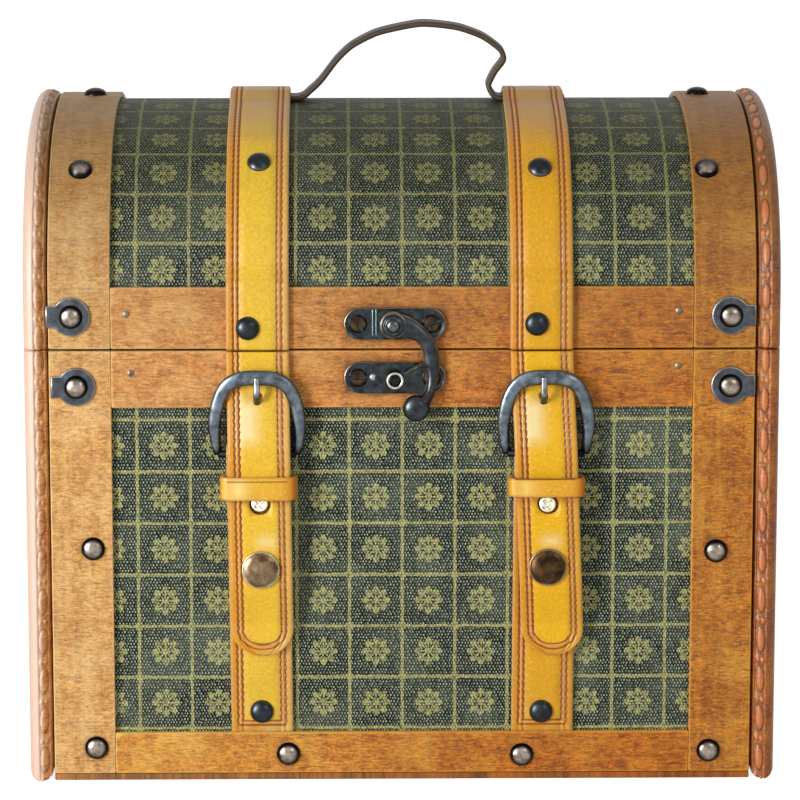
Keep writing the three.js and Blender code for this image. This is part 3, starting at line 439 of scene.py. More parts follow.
nearness, given = look("nearness", {"X": 0.0, "Z": 0.0, "Wide": 0.0, "Tall": 0.0, "Reach": 5.0},
                       {"Share": "Float"})
tree = nearness
here = object_place(tree)
away = []
for axis, half, value in (("X", "Wide", here[0]), ("Z", "Tall", here[2])):
    off = calc(tree, "ABSOLUTE", minus(tree, over(tree, value, MILLIMETRE), given[axis]))
    off = calc(tree, "MAXIMUM", minus(tree, off, given[half]), 0.0)
    away.append(times(tree, off, off))
away = over(tree, calc(tree, "SQRT", plus(tree, *away)), given["Reach"])
share = calc(tree, "SUBTRACT", 1.0, away, use_clamp=True)
share = times(tree, share, calc(tree, "LESS_THAN", here[1], 0.0))
node(tree, "NodeGroupOutput", {"Share": times(tree, share, share)})


def near(tree, x, z, reach, wide=0.0, tall=0.0):
    """1 on a box round a place on the front, fading to 0 at a reach beyond it."""
    return placed_look(tree, nearness, X=x, Z=z, Wide=wide, Tall=tall, Reach=reach)[0]


white_value = (1.0, 1.0, 1.0, 1.0)
wood_look, given = look("wood_look", {
    "Dark": white_value, "Middle": white_value, "Light": white_value, "Across": 0.5,
    "Along": 0.05, "Grain": 0.35, "Blotch": 0.4, "Worn": 0.5},
    {"Color": "Color", "Gloss": "Float", "Height": "Float"})
tree = wood_look
flat = surface_place(tree)
apart = node(tree, "ShaderNodeSeparateXYZ", {0: flat}).outputs
streaked = node(tree, "ShaderNodeCombineXYZ", {
    0: times(tree, apart[0], given["Across"]), 1: times(tree, apart[1], given["Along"])}
    ).outputs[0]
mottle = noise(tree, flat, 0.3, 6, 0.66)
grain = noise(tree, streaked, 1.0, 6, 0.65, 0.4)
stain = noise(tree, flat, 0.045, 3, 0.55)
bleach = noise(tree, surface_place(tree, shift=(31, 17, 0)), 0.06, 4, 0.6)
scuff = noise(tree, surface_place(tree, (0.45, 1.0, 1), (7, 3, 0)), 1.0, 4, 0.75)
grime = noise(tree, surface_place(tree, shift=(5, 11, 0)), 0.85, 4, 0.7)
fleck = noise(tree, surface_place(tree, (0.8, 1.1, 1), (3, 29, 0)), 1.3, 5, 0.8)
split = noise(tree, surface_place(tree, (0.05, 0.55, 1), (13, 2, 0)), 1.0, 2, 0.5, 0.6)
dashes = noise(tree, surface_place(tree, (0.36, 1.5, 1), (2, 9, 0)), 1.0, 4, 0.8, 0.3)
here = object_place(tree)
# Painted shade: towards the trunk's right, away from the key light, the colour is multiplied
# darker and more orange.
right_shade_from, right_shade_to = -0.75 * half_width * MILLIMETRE, 0.3 * half_width * MILLIMETRE
right_shade_tints = {"Dark": (1.0, (0.5, 0.27, 0.04, 1.0)), "Middle": (1.0, (0.76, 0.44, 0.04, 1.0)),
              "Light": (0.9, (0.9, 0.6, 0.1, 1.0))}
top_shade_from, top_shade_to = 0.128, 0.212
right_shade = fading(tree, here[0], right_shade_from, right_shade_to)
dark, middle, light = (
    mixed(tree, times(tree, right_shade, share), given[name], tint, "MULTIPLY")
    for name, (share, tint) in right_shade_tints.items())
soot = mixed(tree, 0.6, dark, colour(40, 20, 6))
crack = calc(tree, "ABSOLUTE", minus(tree, split, 0.68))
tone = mixed(tree, ramp(tree, mottle, (0.38, 0), (0.58, 1)), dark, middle)
tone = coated(
    tree, tone, (fleck, 0.5, 0.66, 0.55, light), (fleck, 0.5, 0.34, 0.6, dark),
    (grain, 0.42, 0.66, given["Grain"], light), (stain, 0.6, 0.36, given["Blotch"], dark),
    (bleach, 0.48, 0.66, given["Blotch"], light), (scuff, 0.56, 0.68, 0.5, light),
    (grime, 0.56, 0.74, 0.55, soot), (dashes, 0.52, 0.66, 0.5, light),
    (dashes, 0.48, 0.34, 0.62, soot), (crack, 0.02, 0.0, 0.8, soot))
tone = mixed(tree, times(tree, worn_edge(tree, 0.75), given["Worn"]), tone, light)
# Painted shade: towards the lid's top, whose faces turn up away from the light, the wood is mixed
# to a dull brown.
dust_and_shade = fading(tree, here[2], top_shade_from, top_shade_to, 0.0, 0.62)
tone = mixed(tree, dust_and_shade, tone, colour(112, 86, 48))
node(tree, "NodeGroupOutput", {"Color": tone, "Gloss": times(tree, stain, 0.2),
                               "Height": plus(tree, times(tree, fleck, 0.5), dashes)})


# Grime with painted contact shade: a dark brown halo round the clasp plates and the nails, partly
# dirt and partly the shade that gathers round raised parts.
soil_and_shade_reach = 4.5
soil_and_shade_strength = 0.75
soil_and_shade = colour(52, 34, 16)


def wood(name, dark, middle, light, streaks, rough, grain=0.35, worn=0.6, blotch=0.4,
         soiled_and_shaded=()):
    """Varnished wood: soft mottling, faint streaks of grain, bleached and stained patches,
    scuffs, grime, pale edges, painted shade that turns the colour darker and more orange
    towards the trunk's right, and painted shade towards the lid's top. Streaks scales the grain
    along and across the piece, and grime with painted contact shade gathers round the
    soiled_and_shaded places, given as (x, z, half width, half height)."""
    made, tree = new_material(name)
    seen = placed_look(
        tree, wood_look, Dark=colour(*dark), Middle=colour(*middle), Light=colour(*light),
        Across=streaks[0], Along=streaks[1], Grain=grain, Blotch=blotch, Worn=worn)
    tone = seen["Color"]
    for x, z, wide, tall in soiled_and_shaded:
        share = times(tree, near(tree, x, z, soil_and_shade_reach, wide, tall), soil_and_shade_strength)
        tone = mixed(tree, share, tone, soil_and_shade)
    finish(tree, tone, plus(tree, rough, seen["Gloss"]), seen["Height"], 0.24, specular=0.25)
    return made


plain_wood = wood("plain_wood", (112, 72, 36), (170, 124, 74), (214, 176, 122), (0.03, 0.5),
                  0.55, grain=0.6, worn=0.3)
floor_wood = wood("floor_wood", (44, 24, 10), (120, 70, 28), (206, 140, 70), (0.1, 0.9), 0.6,
                  grain=0.6, worn=0.2, blotch=0.6)
board_thickness = 5.2
end_thickness = 7.4
shell_thickness = 4.0
canvas_thickness = 0.6
molding_width = 7.6
end_face = half_width - molding_width - seat
end_board_face = end_face - canvas_thickness - seat
end_inside = end_board_face - end_thickness
post_width = 19.8
post_outer = end_face - seat
post_inner = post_outer - post_width
floor_thickness = 2.2
floor_set_back = 0.6
board_foot = floor_thickness + seat
base_top = seam_height - seam_gap / 2
lid_bottom = seam_height + seam_gap / 2
crown_gap = 0.05
board_back = -canvas_thickness - seat - board_thickness
board_front = -canvas_thickness - seat


def level_place(station, offset):
    """A flat board: its stations run along y and its offset upwards."""
    return station, offset


def upright(parts):
    """Turns a flat board up on its edge: across becomes y, stations z and offset x."""
    points, faces, uv, edge = parts
    return points[:, [2, 0, 1]], faces, uv, edge


def joined(*parts):
    """Several closed forms as one."""
    points, faces, uv, edge, start = [], [], [], [], 0
    for p, f, u, e in parts:
        points.append(p)
        faces += [tuple(k + start for k in face) for face in f]
        uv.append(u)
        edge.append(e)
        start += len(p)
    return np.concatenate(points), faces, np.concatenate(uv), np.concatenate(edge)


def make(name, parts, body, paint, stands_for=(), bevel=0):
    """Makes a piece of what slab and its like return. It takes the place of the solids named,
    or of the one that has its own name."""
    points, faces, uv, edge = parts
    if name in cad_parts:
        stands_for = [name]
    return add_piece(name, points, faces, body, paint, stands_for, uv, edge, bevel)


def lid_half_depth(height, offset):
    """Half the depth of the lid's outline at a height."""
    run = np.linspace(0, outline_length / 2, 400)
    y, z = lid_place(run, offset)
    return np.interp(height, z, -y)


def end_sheets(outer, inner, depth, mesh, offset, rows):
    """The upright sheet of an end of the base, and the arched one of the lid above it, whose
    rows crowd together towards the crown."""
    low = slab(level_place, board_heights, evenly(-depth, depth, mesh), outer, inner)
    top = lid_place(np.array(outline_length / 2), offset)[1] - crown_gap
    heights = lid_bottom + (top - lid_bottom) * np.sin(np.linspace(0, np.pi / 2, rows))
    arched = slab(level_place, heights, evenly(-1, 1, 0.1), outer, inner,
                  spread=lid_half_depth(heights, offset))
    return upright(low), upright(arched)


SIDES = (("left", -1), ("right", 1))
board_mesh = 5.0
board_round = 0.4
floor_half = half_depth + strip_face - floor_set_back
board_depth = half_depth + board_front
make("bottom_board", slab(level_place, evenly(-floor_half, floor_half, board_mesh),
     evenly(-post_outer, post_outer, board_mesh), floor_thickness, 0.0),
     "base", floor_wood, ["base_floor"], 0.3)
board_heights = evenly(board_foot, base_top, board_mesh)
board_across = evenly(-end_inside + seat, end_inside - seat, board_mesh)
for side, place in (("front", front_place), ("back", back_place)):
    make(f"{side}_board", slab(place, board_heights, board_across, board_front, board_back),
         "base", plain_wood, [f"base_{side}_board"], board_round)
for side, sign in SIDES:
    low, arched = end_sheets(sign * end_board_face, sign * end_inside, board_depth, board_mesh,
                             board_back, 30)
    make(f"{side}_end_board", low, "base", plain_wood, [f"base_{side}_end"],
         board_round)
    make(f"{side}_lid_end_board", arched, "lid", plain_wood,
         [f"lid_{side}_end"], board_round)
lid_stations = evenly(seam_gap / 2, outline_length - seam_gap / 2, 3)
make("bent_shell", slab(lid_place, lid_stations, evenly(-end_board_face, end_board_face, 8),
     board_front, board_front - shell_thickness),
     "lid", plain_wood, ["lid_shell"], 0.3)

# The canvas is glued over the boards: a dark green weave with pale threads showing at each
# crossing, printed in tan with a lattice, small diamonds where it crosses, and a rosette of
# eight petals in each square.
thread_pitch = 1.0
row_pitch = 0.97
thread_half = (0.2, 0.3)
thread_jitter = 0.28
lattice_pitch = 17.0
line_width = 0.5
diamond_size = 1.7
petal_length = 4.6
petal_count = 8
petal_share = 0.62
petal_hollow = 0.72
heart_radius = 1.1
canvas_dark = colour(10, 20, 14)
canvas_thread = colour(190, 202, 170)
canvas_print = colour(202, 198, 130)
canvas_worn_and_sheen = colour(86, 88, 74)
dim_from = 0.15
canvas_dim = colour(38, 34, 12)
crest_from = 0.208
crest_to = 0.2125
scratch_scales = ((0.12, 3.0, 1), (3.0, 0.12, 1))


def printed_canvas():
    """Bricked rows of round thread ends, and a print made of distances to lines and petals."""
    made, tree = new_material("printed_canvas")
    flat = surface_place(tree)
    wander = node(tree, "ShaderNodeTexNoise", {"Vector": flat, "Scale": 0.35, "Detail": 2.0})
    moved = node(tree, "ShaderNodeVectorMath", {0: wander.outputs["Color"], 1: (0.5,) * 3},
                 operation="SUBTRACT").outputs[0]
    moved = node(tree, "ShaderNodeVectorMath", {0: moved, "Scale": 0.7}, operation="SCALE")
    place = node(tree, "ShaderNodeVectorMath", {0: flat, 1: moved.outputs[0]}).outputs[0]
    apart = node(tree, "ShaderNodeSeparateXYZ", {0: place}).outputs

    row = over(tree, apart[1], row_pitch)
    line_of = calc(tree, "FLOOR", row)
    odd = times(tree, calc(tree, "MODULO", line_of, 2.0), 0.5)
    column = plus(tree, over(tree, apart[0], thread_pitch), odd)
    which = node(tree, "ShaderNodeCombineXYZ", {0: calc(tree, "FLOOR", column), 1: line_of})
    chance = node(tree, "ShaderNodeTexWhiteNoise", {"Vector": which.outputs[0]},
                  noise_dimensions="2D").outputs
    drift = node(tree, "ShaderNodeSeparateXYZ", {0: chance["Color"]}).outputs
    spot = []
    for k, (count, pitch) in enumerate(((column, thread_pitch), (row, row_pitch))):
        off = plus(tree, minus(tree, calc(tree, "FRACT", count), 0.5),
                   times(tree, minus(tree, drift[k], 0.5), thread_jitter))
        spot.append(over(tree, times(tree, off, pitch), thread_half[k]))
    far = calc(tree, "SQRT", plus(tree, *(times(tree, c, c) for c in spot)))
    far = times(tree, far, 0.25)
    knot = ramp(tree, far, (0.0, 1), (0.6, 0))
    thread = times(tree, ramp(tree, far, (0.17, 1), (0.36, 0)),
                   plus(tree, 0.3, times(tree, chance["Value"], 0.7)))

    cell = [times(tree, minus(tree, calc(tree, "FRACT", over(tree, a, lattice_pitch)), 0.5),
                  lattice_pitch) for a in apart[:2]]
    to_line = [minus(tree, lattice_pitch / 2, calc(tree, "ABSOLUTE", c)) for c in cell]
    line = calc(tree, "LESS_THAN", calc(tree, "MINIMUM", *to_line), line_width)
    diamond = calc(tree, "LESS_THAN", plus(tree, *to_line), diamond_size)
    ray = calc(tree, "SQRT", plus(tree, *(times(tree, c, c) for c in cell)))
    turn = calc(tree, "ARCTAN2", cell[1], cell[0])
    wave = calc(tree, "ABSOLUTE", calc(tree, "COSINE", times(tree, turn, petal_count / 2)))
    petal = plus(tree, petal_share * petal_length,
                 times(tree, wave, (1 - petal_share) * petal_length))
    inside = calc(tree, "LESS_THAN", ray, petal)
    hollow = times(tree, calc(tree, "GREATER_THAN", ray, heart_radius),
                   calc(tree, "LESS_THAN", ray, times(tree, petal, petal_hollow)))
    vein = calc(tree, "GREATER_THAN", wave, 0.82)
    open_part = times(tree, hollow, minus(tree, 1.0, vein))
    rosette = times(tree, inside, minus(tree, 1.0, open_part))
    shape = calc(tree, "MAXIMUM", calc(tree, "MAXIMUM", line, diamond), rosette)
    patchy = ramp(tree, noise(tree, flat, 0.5, 5, 0.8), (0.36, 0.25), (0.55, 1))
    ink = calc(tree, "MULTIPLY", times(tree, shape, patchy),
               plus(tree, 0.45, times(tree, knot, 0.75)), use_clamp=True)

    weave = mixed(tree, thread, canvas_dark, canvas_thread)
    dust_and_shade = ramp(tree, noise(tree, flat, 0.04, 3, 0.6), (0.45, 0), (0.75, 0.16))
    weave = mixed(tree, dust_and_shade, weave, canvas_thread)
    height = object_place(tree)[2]
    crest = fading(tree, height, crest_from, crest_to)
    scratched = calc(tree, "MAXIMUM", *(
        ramp(tree, noise(tree, surface_place(tree, scale), 1.0, 3, 0.7), (0.56, 0), (0.66, 1))
        for scale in scratch_scales))
    # Near the crest the weave greys: the scratches are wear, and the even grey under them is a
    # painted sheen.
    worn = times(tree, crest, plus(tree, 0.25, times(tree, scratched, 0.6)))
    tone = mixed(tree, ink, mixed(tree, worn, weave, canvas_worn_and_sheen), canvas_print)
    # Painted shade: the canvas darkens towards the lid's top, whose faces turn up away from the
    # light.
    tone = mixed(tree, fading(tree, height, dim_from, crest_to, 0.0, 0.55), tone, canvas_dim)
    finish(tree, tone, minus(tree, 0.62, times(tree, knot, 0.15)), knot, 0.18, specular=0.12)
    return made


canvas = printed_canvas()
canvas_mesh = 6.0
canvas_across = evenly(-end_face, end_face, canvas_mesh)
for side, place in (("front", front_place), ("back", back_place)):
    make(f"{side}_canvas", slab(place, board_heights, canvas_across, 0.0, -canvas_thickness),
         "base", canvas, ["base_canvas"])
end_depth = half_depth - canvas_thickness
for side, sign in SIDES:
    low, arched = end_sheets(sign * end_face, sign * (end_face - canvas_thickness), end_depth,
                             canvas_mesh, -canvas_thickness, 40)
    make(f"{side}_end_canvas", low, "base", canvas)
    make(f"{side}_lid_end_canvas", arched, "lid", canvas,
         [f"lid_{side}_end_canvas"])
make("lid_canvas", slab(lid_place, evenly(seam_gap / 2, outline_length - seam_gap / 2, 2),
     evenly(-end_board_face, end_board_face, canvas_mesh), 0.0, -canvas_thickness),
     "lid", canvas)

# Posts, rails and bands are thin strips of varnished wood nailed over the canvas, butted at
# their ends. The rails are orange, the posts and bands honey coloured, all scuffed and grimy.
post_nail_inset = 7.4
post_nail_heights = (10.5, 77.5)
rail_nail_spread = 37.5
foot_nail_height = 9.2
post_nails = [(sign * (post_inner + post_nail_inset), height, 1, 1)
              for sign in (-1, 1) for height in post_nail_heights]
foot_nails = [(sign * rail_nail_spread, foot_nail_height, 1, 1) for sign in (-1, 1)]
clasp_centre = -2.4
round_clasp = [(clasp_centre, seam_height + rise, 14.5, 3.8) for rise in (8.5, -8.9)]
rail_wood = wood("rail_wood", (172, 94, 30), (226, 152, 68), (254, 208, 132), (0.06, 0.6), 0.34,
                 soiled_and_shaded=round_clasp)
foot_wood = wood("foot_wood", (172, 90, 12), (230, 150, 30), (255, 210, 104), (0.06, 0.6), 0.36,
                 soiled_and_shaded=foot_nails)
post_wood = wood("post_wood", (178, 108, 40), (227, 165, 80), (253, 215, 146), (0.3, 0.025),
                 0.36, soiled_and_shaded=post_nails)
base_rail_height = 18.4
foot_rail_height = 13.6
lid_rail_height = 20.0
strip_mesh = 2.5
rail_end = post_inner - seat / 4
edge_round = 0.45


def strip(place, low, high, left, right):
    """A thin wooden strip on the canvas."""
    return slab(place, evenly(low, high, strip_mesh), evenly(left, right, strip_mesh),
                strip_face, seat)


for face, place in (("front", front_place), ("back", back_place)):
    make(f"{face}_top_rail", strip(place, base_top - base_rail_height, base_top, -rail_end,
         rail_end), "base", rail_wood, [f"base_{face}_top_rail"], edge_round)
    make(f"{face}_foot_rail", strip(place, board_foot, board_foot + foot_rail_height,
         -rail_end, rail_end), "base", foot_wood, [f"base_{face}_foot_rail"],
         edge_round)
    for side, sign in SIDES:
        left, right = sorted((sign * post_inner, sign * post_outer))
        viewed = side if face == "front" else {"left": "right", "right": "left"}[side]
        make(f"{face}_{viewed}_post", strip(place, board_foot, base_top, left, right), "base",
             post_wood, [f"base_{face}_{viewed}_post"], edge_round)
make("lid_front_rail", strip(lid_place, seam_gap / 2, lid_rail_height, -rail_end, rail_end),
     "lid", rail_wood, bevel=edge_round)
make("lid_back_rail", strip(lid_place, outline_length - lid_rail_height,
     outline_length - seam_gap / 2, -rail_end, rail_end), "lid", rail_wood,
     bevel=edge_round)
for side, sign in SIDES:
    left, right = sorted((sign * post_inner, sign * post_outer))
    make(f"lid_{side}_band", strip(lid_place, seam_gap / 2, outline_length - seam_gap / 2,
         left, right), "lid", post_wood, bevel=edge_round)

# Nails with forged dome heads, black at the rim, partly dark iron and partly painted shade,
# and pale on top, partly bare from wear and partly a painted highlight, or blued all over on
# the straps. Two hold each post and each foot rail, three each band, four each upper strap and
# one each lower strap, all driven a little off their line.
nail_radius = 3.85
nail_rise = 2.3
nail_root = 0.6
nail_leans = (math.radians(42.5), 0.0, math.radians(-42.5))
nail_shifts = {
    "front_left_post_low": (1.3, 0.6), "front_right_post_low": (-1.0, -1.0),
    "front_left_post_high": (1.0, -0.3), "front_right_post_high": (0.6, -1.6),
    "front_foot_rail_left": (0.55, -0.37), "front_foot_rail_right": (1.25, -0.9),
    "left_band_front": (-2.5, 0.8), "right_band_front": (-2.5, 0.8),
    "left_band_crown": (-0.8, 0.0), "right_band_crown": (-0.8, 0.0),
    "left_strap_seam": (-3.1, -1.2), "right_strap_seam": (-1.6, 0.0),
    "left_strap_front": (0.4, 3.6), "right_strap_front": (0.0, 1.2),
    "left_strap_foot": (-0.2, -0.3), "right_strap_foot": (-0.33, -0.55)}


metal_look, given = look("metal_look", {
    "Dark": white_value, "Middle": white_value, "Bright": white_value, "Grain": 0.8},
    {"Color": "Color", "Gloss": "Float", "Height": "Float"})
tree = metal_look
flat = surface_place(tree)
grained = node(tree, "ShaderNodeVectorMath", {0: flat, "Scale": given["Grain"]},
               operation="SCALE").outputs[0]
patch = noise(tree, grained, 0.28, 4, 0.6)
pits = noise(tree, grained, 1.6, 4, 0.7)
tone = mixed(tree, ramp(tree, patch, (0.38, 0), (0.66, 1)), given["Dark"], given["Middle"])
tone = coated(tree, tone, (pits, 0.6, 0.76, 0.22, given["Bright"]))
node(tree, "NodeGroupOutput", {"Color": tone, "Gloss": times(tree, patch, 0.16),
                               "Height": pits})


def slant_shaded(tree, tone):
    """A metal's colour with painted shade: darker where it is seen at a slant, which rounds
    out domes and tubes.
    """
    slant = node(tree, "ShaderNodeLayerWeight", {"Blend": 0.5}).outputs["Facing"]
    return coated(tree, tone, (slant, 0.04, 0.45, 0.9, colour(14, 14, 16)))


def iron_skin(tree, dark, middle, bright, grain):
    """The look of metal in three tones."""
    return placed_look(tree, metal_look, Dark=colour(*dark), Middle=colour(*middle),
                       Bright=colour(*bright), Grain=grain)


def metal(name, dark, middle, bright, rough, worn=0.6, relief=0.02, grain=0.8, coat=0.35):
    """Patinated metal: a dark skin in soft patches, faint pits, edges worn bright, and painted
    shade where it is seen at a slant."""
    made, tree = new_material(name)
    seen = iron_skin(tree, dark, middle, bright, grain)
    tone = mixed(tree, times(tree, worn_edge(tree, 0.6), worn), slant_shaded(tree, seen["Color"]),
                 colour(*bright))
    finish(tree, tone, plus(tree, rough, seen["Gloss"]), seen["Height"], relief,
           metallic=1.0, coat=coat, coat_roughness=rough)
    return made


def bands(index):
    """Faces of four sides between each ring of points and the next."""
    after = np.roll(index, -1, 1)
    return list(zip(index[:-1].ravel(), after[:-1].ravel(), after[1:].ravel(),
                    index[1:].ravel()))


def poled(low, rings, high):
    """The points and faces of a form whose rings close on a pole at each end, given by its
    height on the axis."""
    index = 1 + np.arange(rings.shape[0] * rings.shape[1]).reshape(rings.shape[:2])
    points = np.concatenate([[[0, 0, low]], rings.reshape(-1, 3), [[0, 0, high]]])
    faces = [(0, b, a) for a, b in zip(index[0], np.roll(index[0], -1))] + bands(index)
    faces += [(len(points) - 1, a, b) for a, b in zip(index[-1], np.roll(index[-1], -1))]
    return points, faces


def revolved(profile, sides=24):
    """A profile of (radius, height) that starts and ends on the axis, turned about it."""
    profile = np.array(profile, float)
    angle = np.arange(sides) * 2 * np.pi / sides
    rim = profile[1:-1]
    rings = np.stack([rim[:, :1] * np.cos(angle), rim[:, :1] * np.sin(angle),
                      np.repeat(rim[:, 1:], sides, 1)], -1)
    points, faces = poled(profile[0, 1], rings, profile[-1, 1])
    edge = profile[:, 0].max() - np.hypot(points[:, 0], points[:, 1])
    return points, faces, points[:, :2].copy(), edge


def placed(parts, origin, out, right=(1, 0, 0)):
    """Stands a form on a surface: its own z goes outwards and its x to the right."""
    points, faces, uv, edge = parts
    out = np.array(out, float) / np.linalg.norm(out)
    up = np.cross(out, right)
    up /= np.linalg.norm(up)
    frame_axes = np.stack([np.cross(up, out), up, out])
    return points @ frame_axes + np.array(origin, float), faces, uv + origin[0], edge


def on_front(x, height, offset):
    """Where a piece on the front stands, and its outward direction."""
    return (x, -half_depth - offset, height), (0, -1, 0)


def on_back(x, height, offset):
    """Where a piece on the back stands, and its outward direction."""
    return (x, half_depth + offset, height), (0, 1, 0)


def on_lid(x, distance, offset):
    """Where a piece on the lid stands, and its outward direction."""
    y, z = lid_place(np.array(float(distance)), offset)
    y1, z1 = lid_place(np.array(float(distance)), offset + nail_rise)
    return (x, float(y), float(z)), (0, float(y1 - y), float(z1 - z))


def distance_at_lean(lean):
    """The distance along the lid's outline where its normal leans forward by an angle."""
    past = max(0.0, abs(lean) - crown_lean)
    near = min(abs(lean), crown_lean)
    return outline_length / 2 - math.copysign(near * crown_radius + past * shoulder_radius, lean)


blued_iron = metal("blued_iron", (24, 28, 32), (44, 50, 56), (130, 134, 138), 0.28, 0.3,
                   coat=0.2)
nail_rim = 0.7
nail_rubbed_and_lit = 1.7
black_tones = (14, 14, 15), (28, 27, 28), (60, 58, 56)


def rubbed_lit_iron(name, rim, rubbed_and_lit, *tones):
    """Iron that is black round the rim of a head, partly dark iron and partly painted shade, and
    turns to other tones on top, partly bare wear and partly a painted highlight, between two
    distances from the rim."""
    made, tree = new_material(name)
    top = fading(tree, edge_distance(tree), rim, rubbed_and_lit)
    black, bare = (iron_skin(tree, *skin, 1.6) for skin in (black_tones, tones))
    tone = mixed(tree, top, black["Color"], bare["Color"])
    finish(tree, slant_shaded(tree, tone), plus(tree, 0.2, bare["Gloss"]), bare["Height"], 0.03,
           metallic=1.0)
    return made


worn_lit_iron = rubbed_lit_iron("worn_lit_iron", nail_rim, nail_rubbed_and_lit, (110, 98, 86), (160, 150, 138),
                        (226, 220, 210))
dome_turns = np.linspace(0, np.pi / 2, 8)
nail_profile = [(0, -nail_root), (nail_radius, -nail_root)]
nail_profile += [(nail_radius * math.cos(t), nail_rise * math.sin(t)) for t in dome_turns]


def nail(where, body, spot, x, along, offset):
    """One dome headed nail, with the shift by which it was driven off its line."""
    shift = nail_shifts.get(where, (0, 0))
    points, faces, uv, edge = placed(revolved(nail_profile), *spot(
        x + shift[0], along + shift[1], offset))
    paint = blued_iron if "strap" in where else worn_lit_iron
    make(f"nail_{where}", (points, faces, uv, edge), body, paint)


nail_in = post_inner + post_nail_inset
for face, spot in (("front", on_front), ("back", on_back)):
    for side, sign in SIDES:
        for level, height in zip(("low", "high"), post_nail_heights):
            nail(f"{face}_{side}_post_{level}", "base", spot, sign * nail_in, height, strip_face)
        nail(f"{face}_foot_rail_{side}", "base", spot, sign * rail_nail_spread,
             foot_nail_height, strip_face)
nail_rows = tuple(zip(("front", "crown", "back"), (distance_at_lean(a) for a in nail_leans)))
for side, sign in SIDES:
    for row, distance in nail_rows:
        nail(f"{side}_band_{row}", "lid", on_lid, sign * nail_in, distance, strip_face)

# Carved moldings frame both ends: a half round whose inner side is cut with long ovals and
# pairs of beads between them, stained red brown, with a painted highlight on the outer side
# of the left ones and painted shade towards the right.
molding_proud = 3.2
molding_reach = 9.5
molding_chamfer = 1.6
fillet_share = 0.05
carve_share = 0.35
carve_half = 1.75
carve_pitch = 13.2
oval_half = (1.4, 4.1)
bead_half = (0.7, 0.95)
bead_apart = 0.85
carve_depth = 0.55
carve_step = 0.45
carve_side = 0.25
rim_depth = 0.25
ground_level = 0.46
crown_share = 0.62
molding_inside = end_face + seat
molding_left_glare = colour(236, 204, 182)
groove_stain_and_shade = colour(84, 40, 12)
molding_crown = colour(226, 132, 74)


def molding_stain():
    """Orange brown stain, with a painted highlight on the outer half at the left, painted shade
    towards the right, and dark in the cuts that is partly stain and partly painted shade. The
    edge value of a molding is the height of its carving."""
    made, tree = new_material("molding_wood")
    seen = placed_look(tree, wood_look, Dark=colour(150, 74, 20), Middle=colour(206, 124, 48),
                       Light=colour(236, 184, 116), Across=0.6, Along=0.09, Worn=0.0)
    x = object_place(tree)[0]
    # Painted highlight on the outer half of the left moldings, and painted shade towards the
    # right.
    glare_from, glare_to = ((share * molding_width - half_width) * MILLIMETRE
                          for share in (0.5, 0.64))
    tone = mixed(tree, fading(tree, x, glare_from, glare_to, 0.82, 0.0), seen["Color"],
                 molding_left_glare)
    shaded, crowned = (fading(tree, x, 0.0, half_width * MILLIMETRE, 0.0, most)
                       for most in (0.22, 0.55))
    tone = mixed(tree, shaded, tone, groove_stain_and_shade)
    raised = edge_distance(tree)
    tone = coated(tree, tone, (raised, 0.5, 0.9, crowned, molding_crown),
                  (raised, 0.45, 0.05, 0.5, groove_stain_and_shade))
    finish(tree, tone, plus(tree, 0.3, seen["Gloss"]), seen["Height"], 0.1, specular=0.35)
    return made


molding_wood = molding_stain()


def carving(x, s):
    """The molding's height over a place: a half round whose ground is cut away round ovals and
    beads in a band near its inner side. Every form is a dome over its ellipse."""
    width = half_width - molding_inside
    half = width / 2
    around = np.sqrt(np.clip(1 - ((x - molding_inside - half) / half) ** 2, 0, 1))
    off = x - molding_inside - carve_share * width
    along = (s + carve_pitch / 4) % carve_pitch - carve_pitch / 2
    oval = 1 - (off / oval_half[0]) ** 2 - (along / oval_half[1]) ** 2
    beside = np.abs(np.abs(along) - carve_pitch / 2)
    bead = 1 - ((np.abs(off) - bead_apart) / bead_half[0]) ** 2 - (beside / bead_half[1]) ** 2
    relief = np.maximum(np.sqrt(np.clip(oval, 0, 1)), np.sqrt(np.clip(bead, 0, 1)))
    rim = np.exp(-(oval + 0.12) ** 2 * 30)
    carved = np.clip((carve_half - np.abs(off)) / carve_side, 0, 1)
    lift = carved * (carve_depth * (relief - 1) - rim_depth * rim)
    raised = ground_level + carved * ((1 - ground_level) * relief - 0.4 * rim)
    return molding_proud - half + half * around + lift, raised


molding_columns = molding_inside + (half_width - molding_inside) * np.concatenate([
    [0, 0.02], np.linspace(fillet_share, crown_share, 18),
    crown_share + (1 - crown_share) * np.sin(np.linspace(0, np.pi / 2, 12)[1:])])


def molding(place, length, sign):
    """A length of carved molding. Its columns run outwards from the band."""
    stations = evenly(0, length, carve_step)
    x, s = np.meshgrid(molding_columns, stations)
    height, raised = carving(x, s)
    top = np.clip(height, molding_proud - molding_width / 2, molding_proud)
    bottom = -molding_reach + 0 * molding_columns
    bottom[-1] += molding_chamfer
    points, faces, uv, edge = slab(place, stations, molding_columns, top, bottom)
    return (points * np.array([sign, 1, 1]), faces, uv,
            np.concatenate([raised.ravel(), np.full(len(edge) - raised.size, 0.4)]))


leg_length = base_top


def leg_place(sign):
    """The upright part of the lower molding, mitred at its foot."""
    def place(distance, offset):
        low = molding_proud - offset
        return sign * (half_depth + offset), base_top - (base_top - low) * distance / leg_length
    return place


def sole_place(distance, offset):
    """The part of the lower molding under the end, mitred at both its ends."""
    reach = half_depth + offset
    return -reach + 2 * reach * distance / (2 * half_depth), molding_proud - offset


for side, sign in SIDES:
    make(f"base_{side}_molding", joined(
        molding(leg_place(-1), leg_length, sign), molding(sole_place, 2 * half_depth, sign),
        molding(leg_place(1), leg_length, sign)),
        "base", molding_wood)
    make(f"lid_{side}_molding", molding(
        lambda distance, offset: lid_place(distance + seam_gap / 2, offset),
        outline_length - seam_gap, sign),
        "lid", molding_wood)

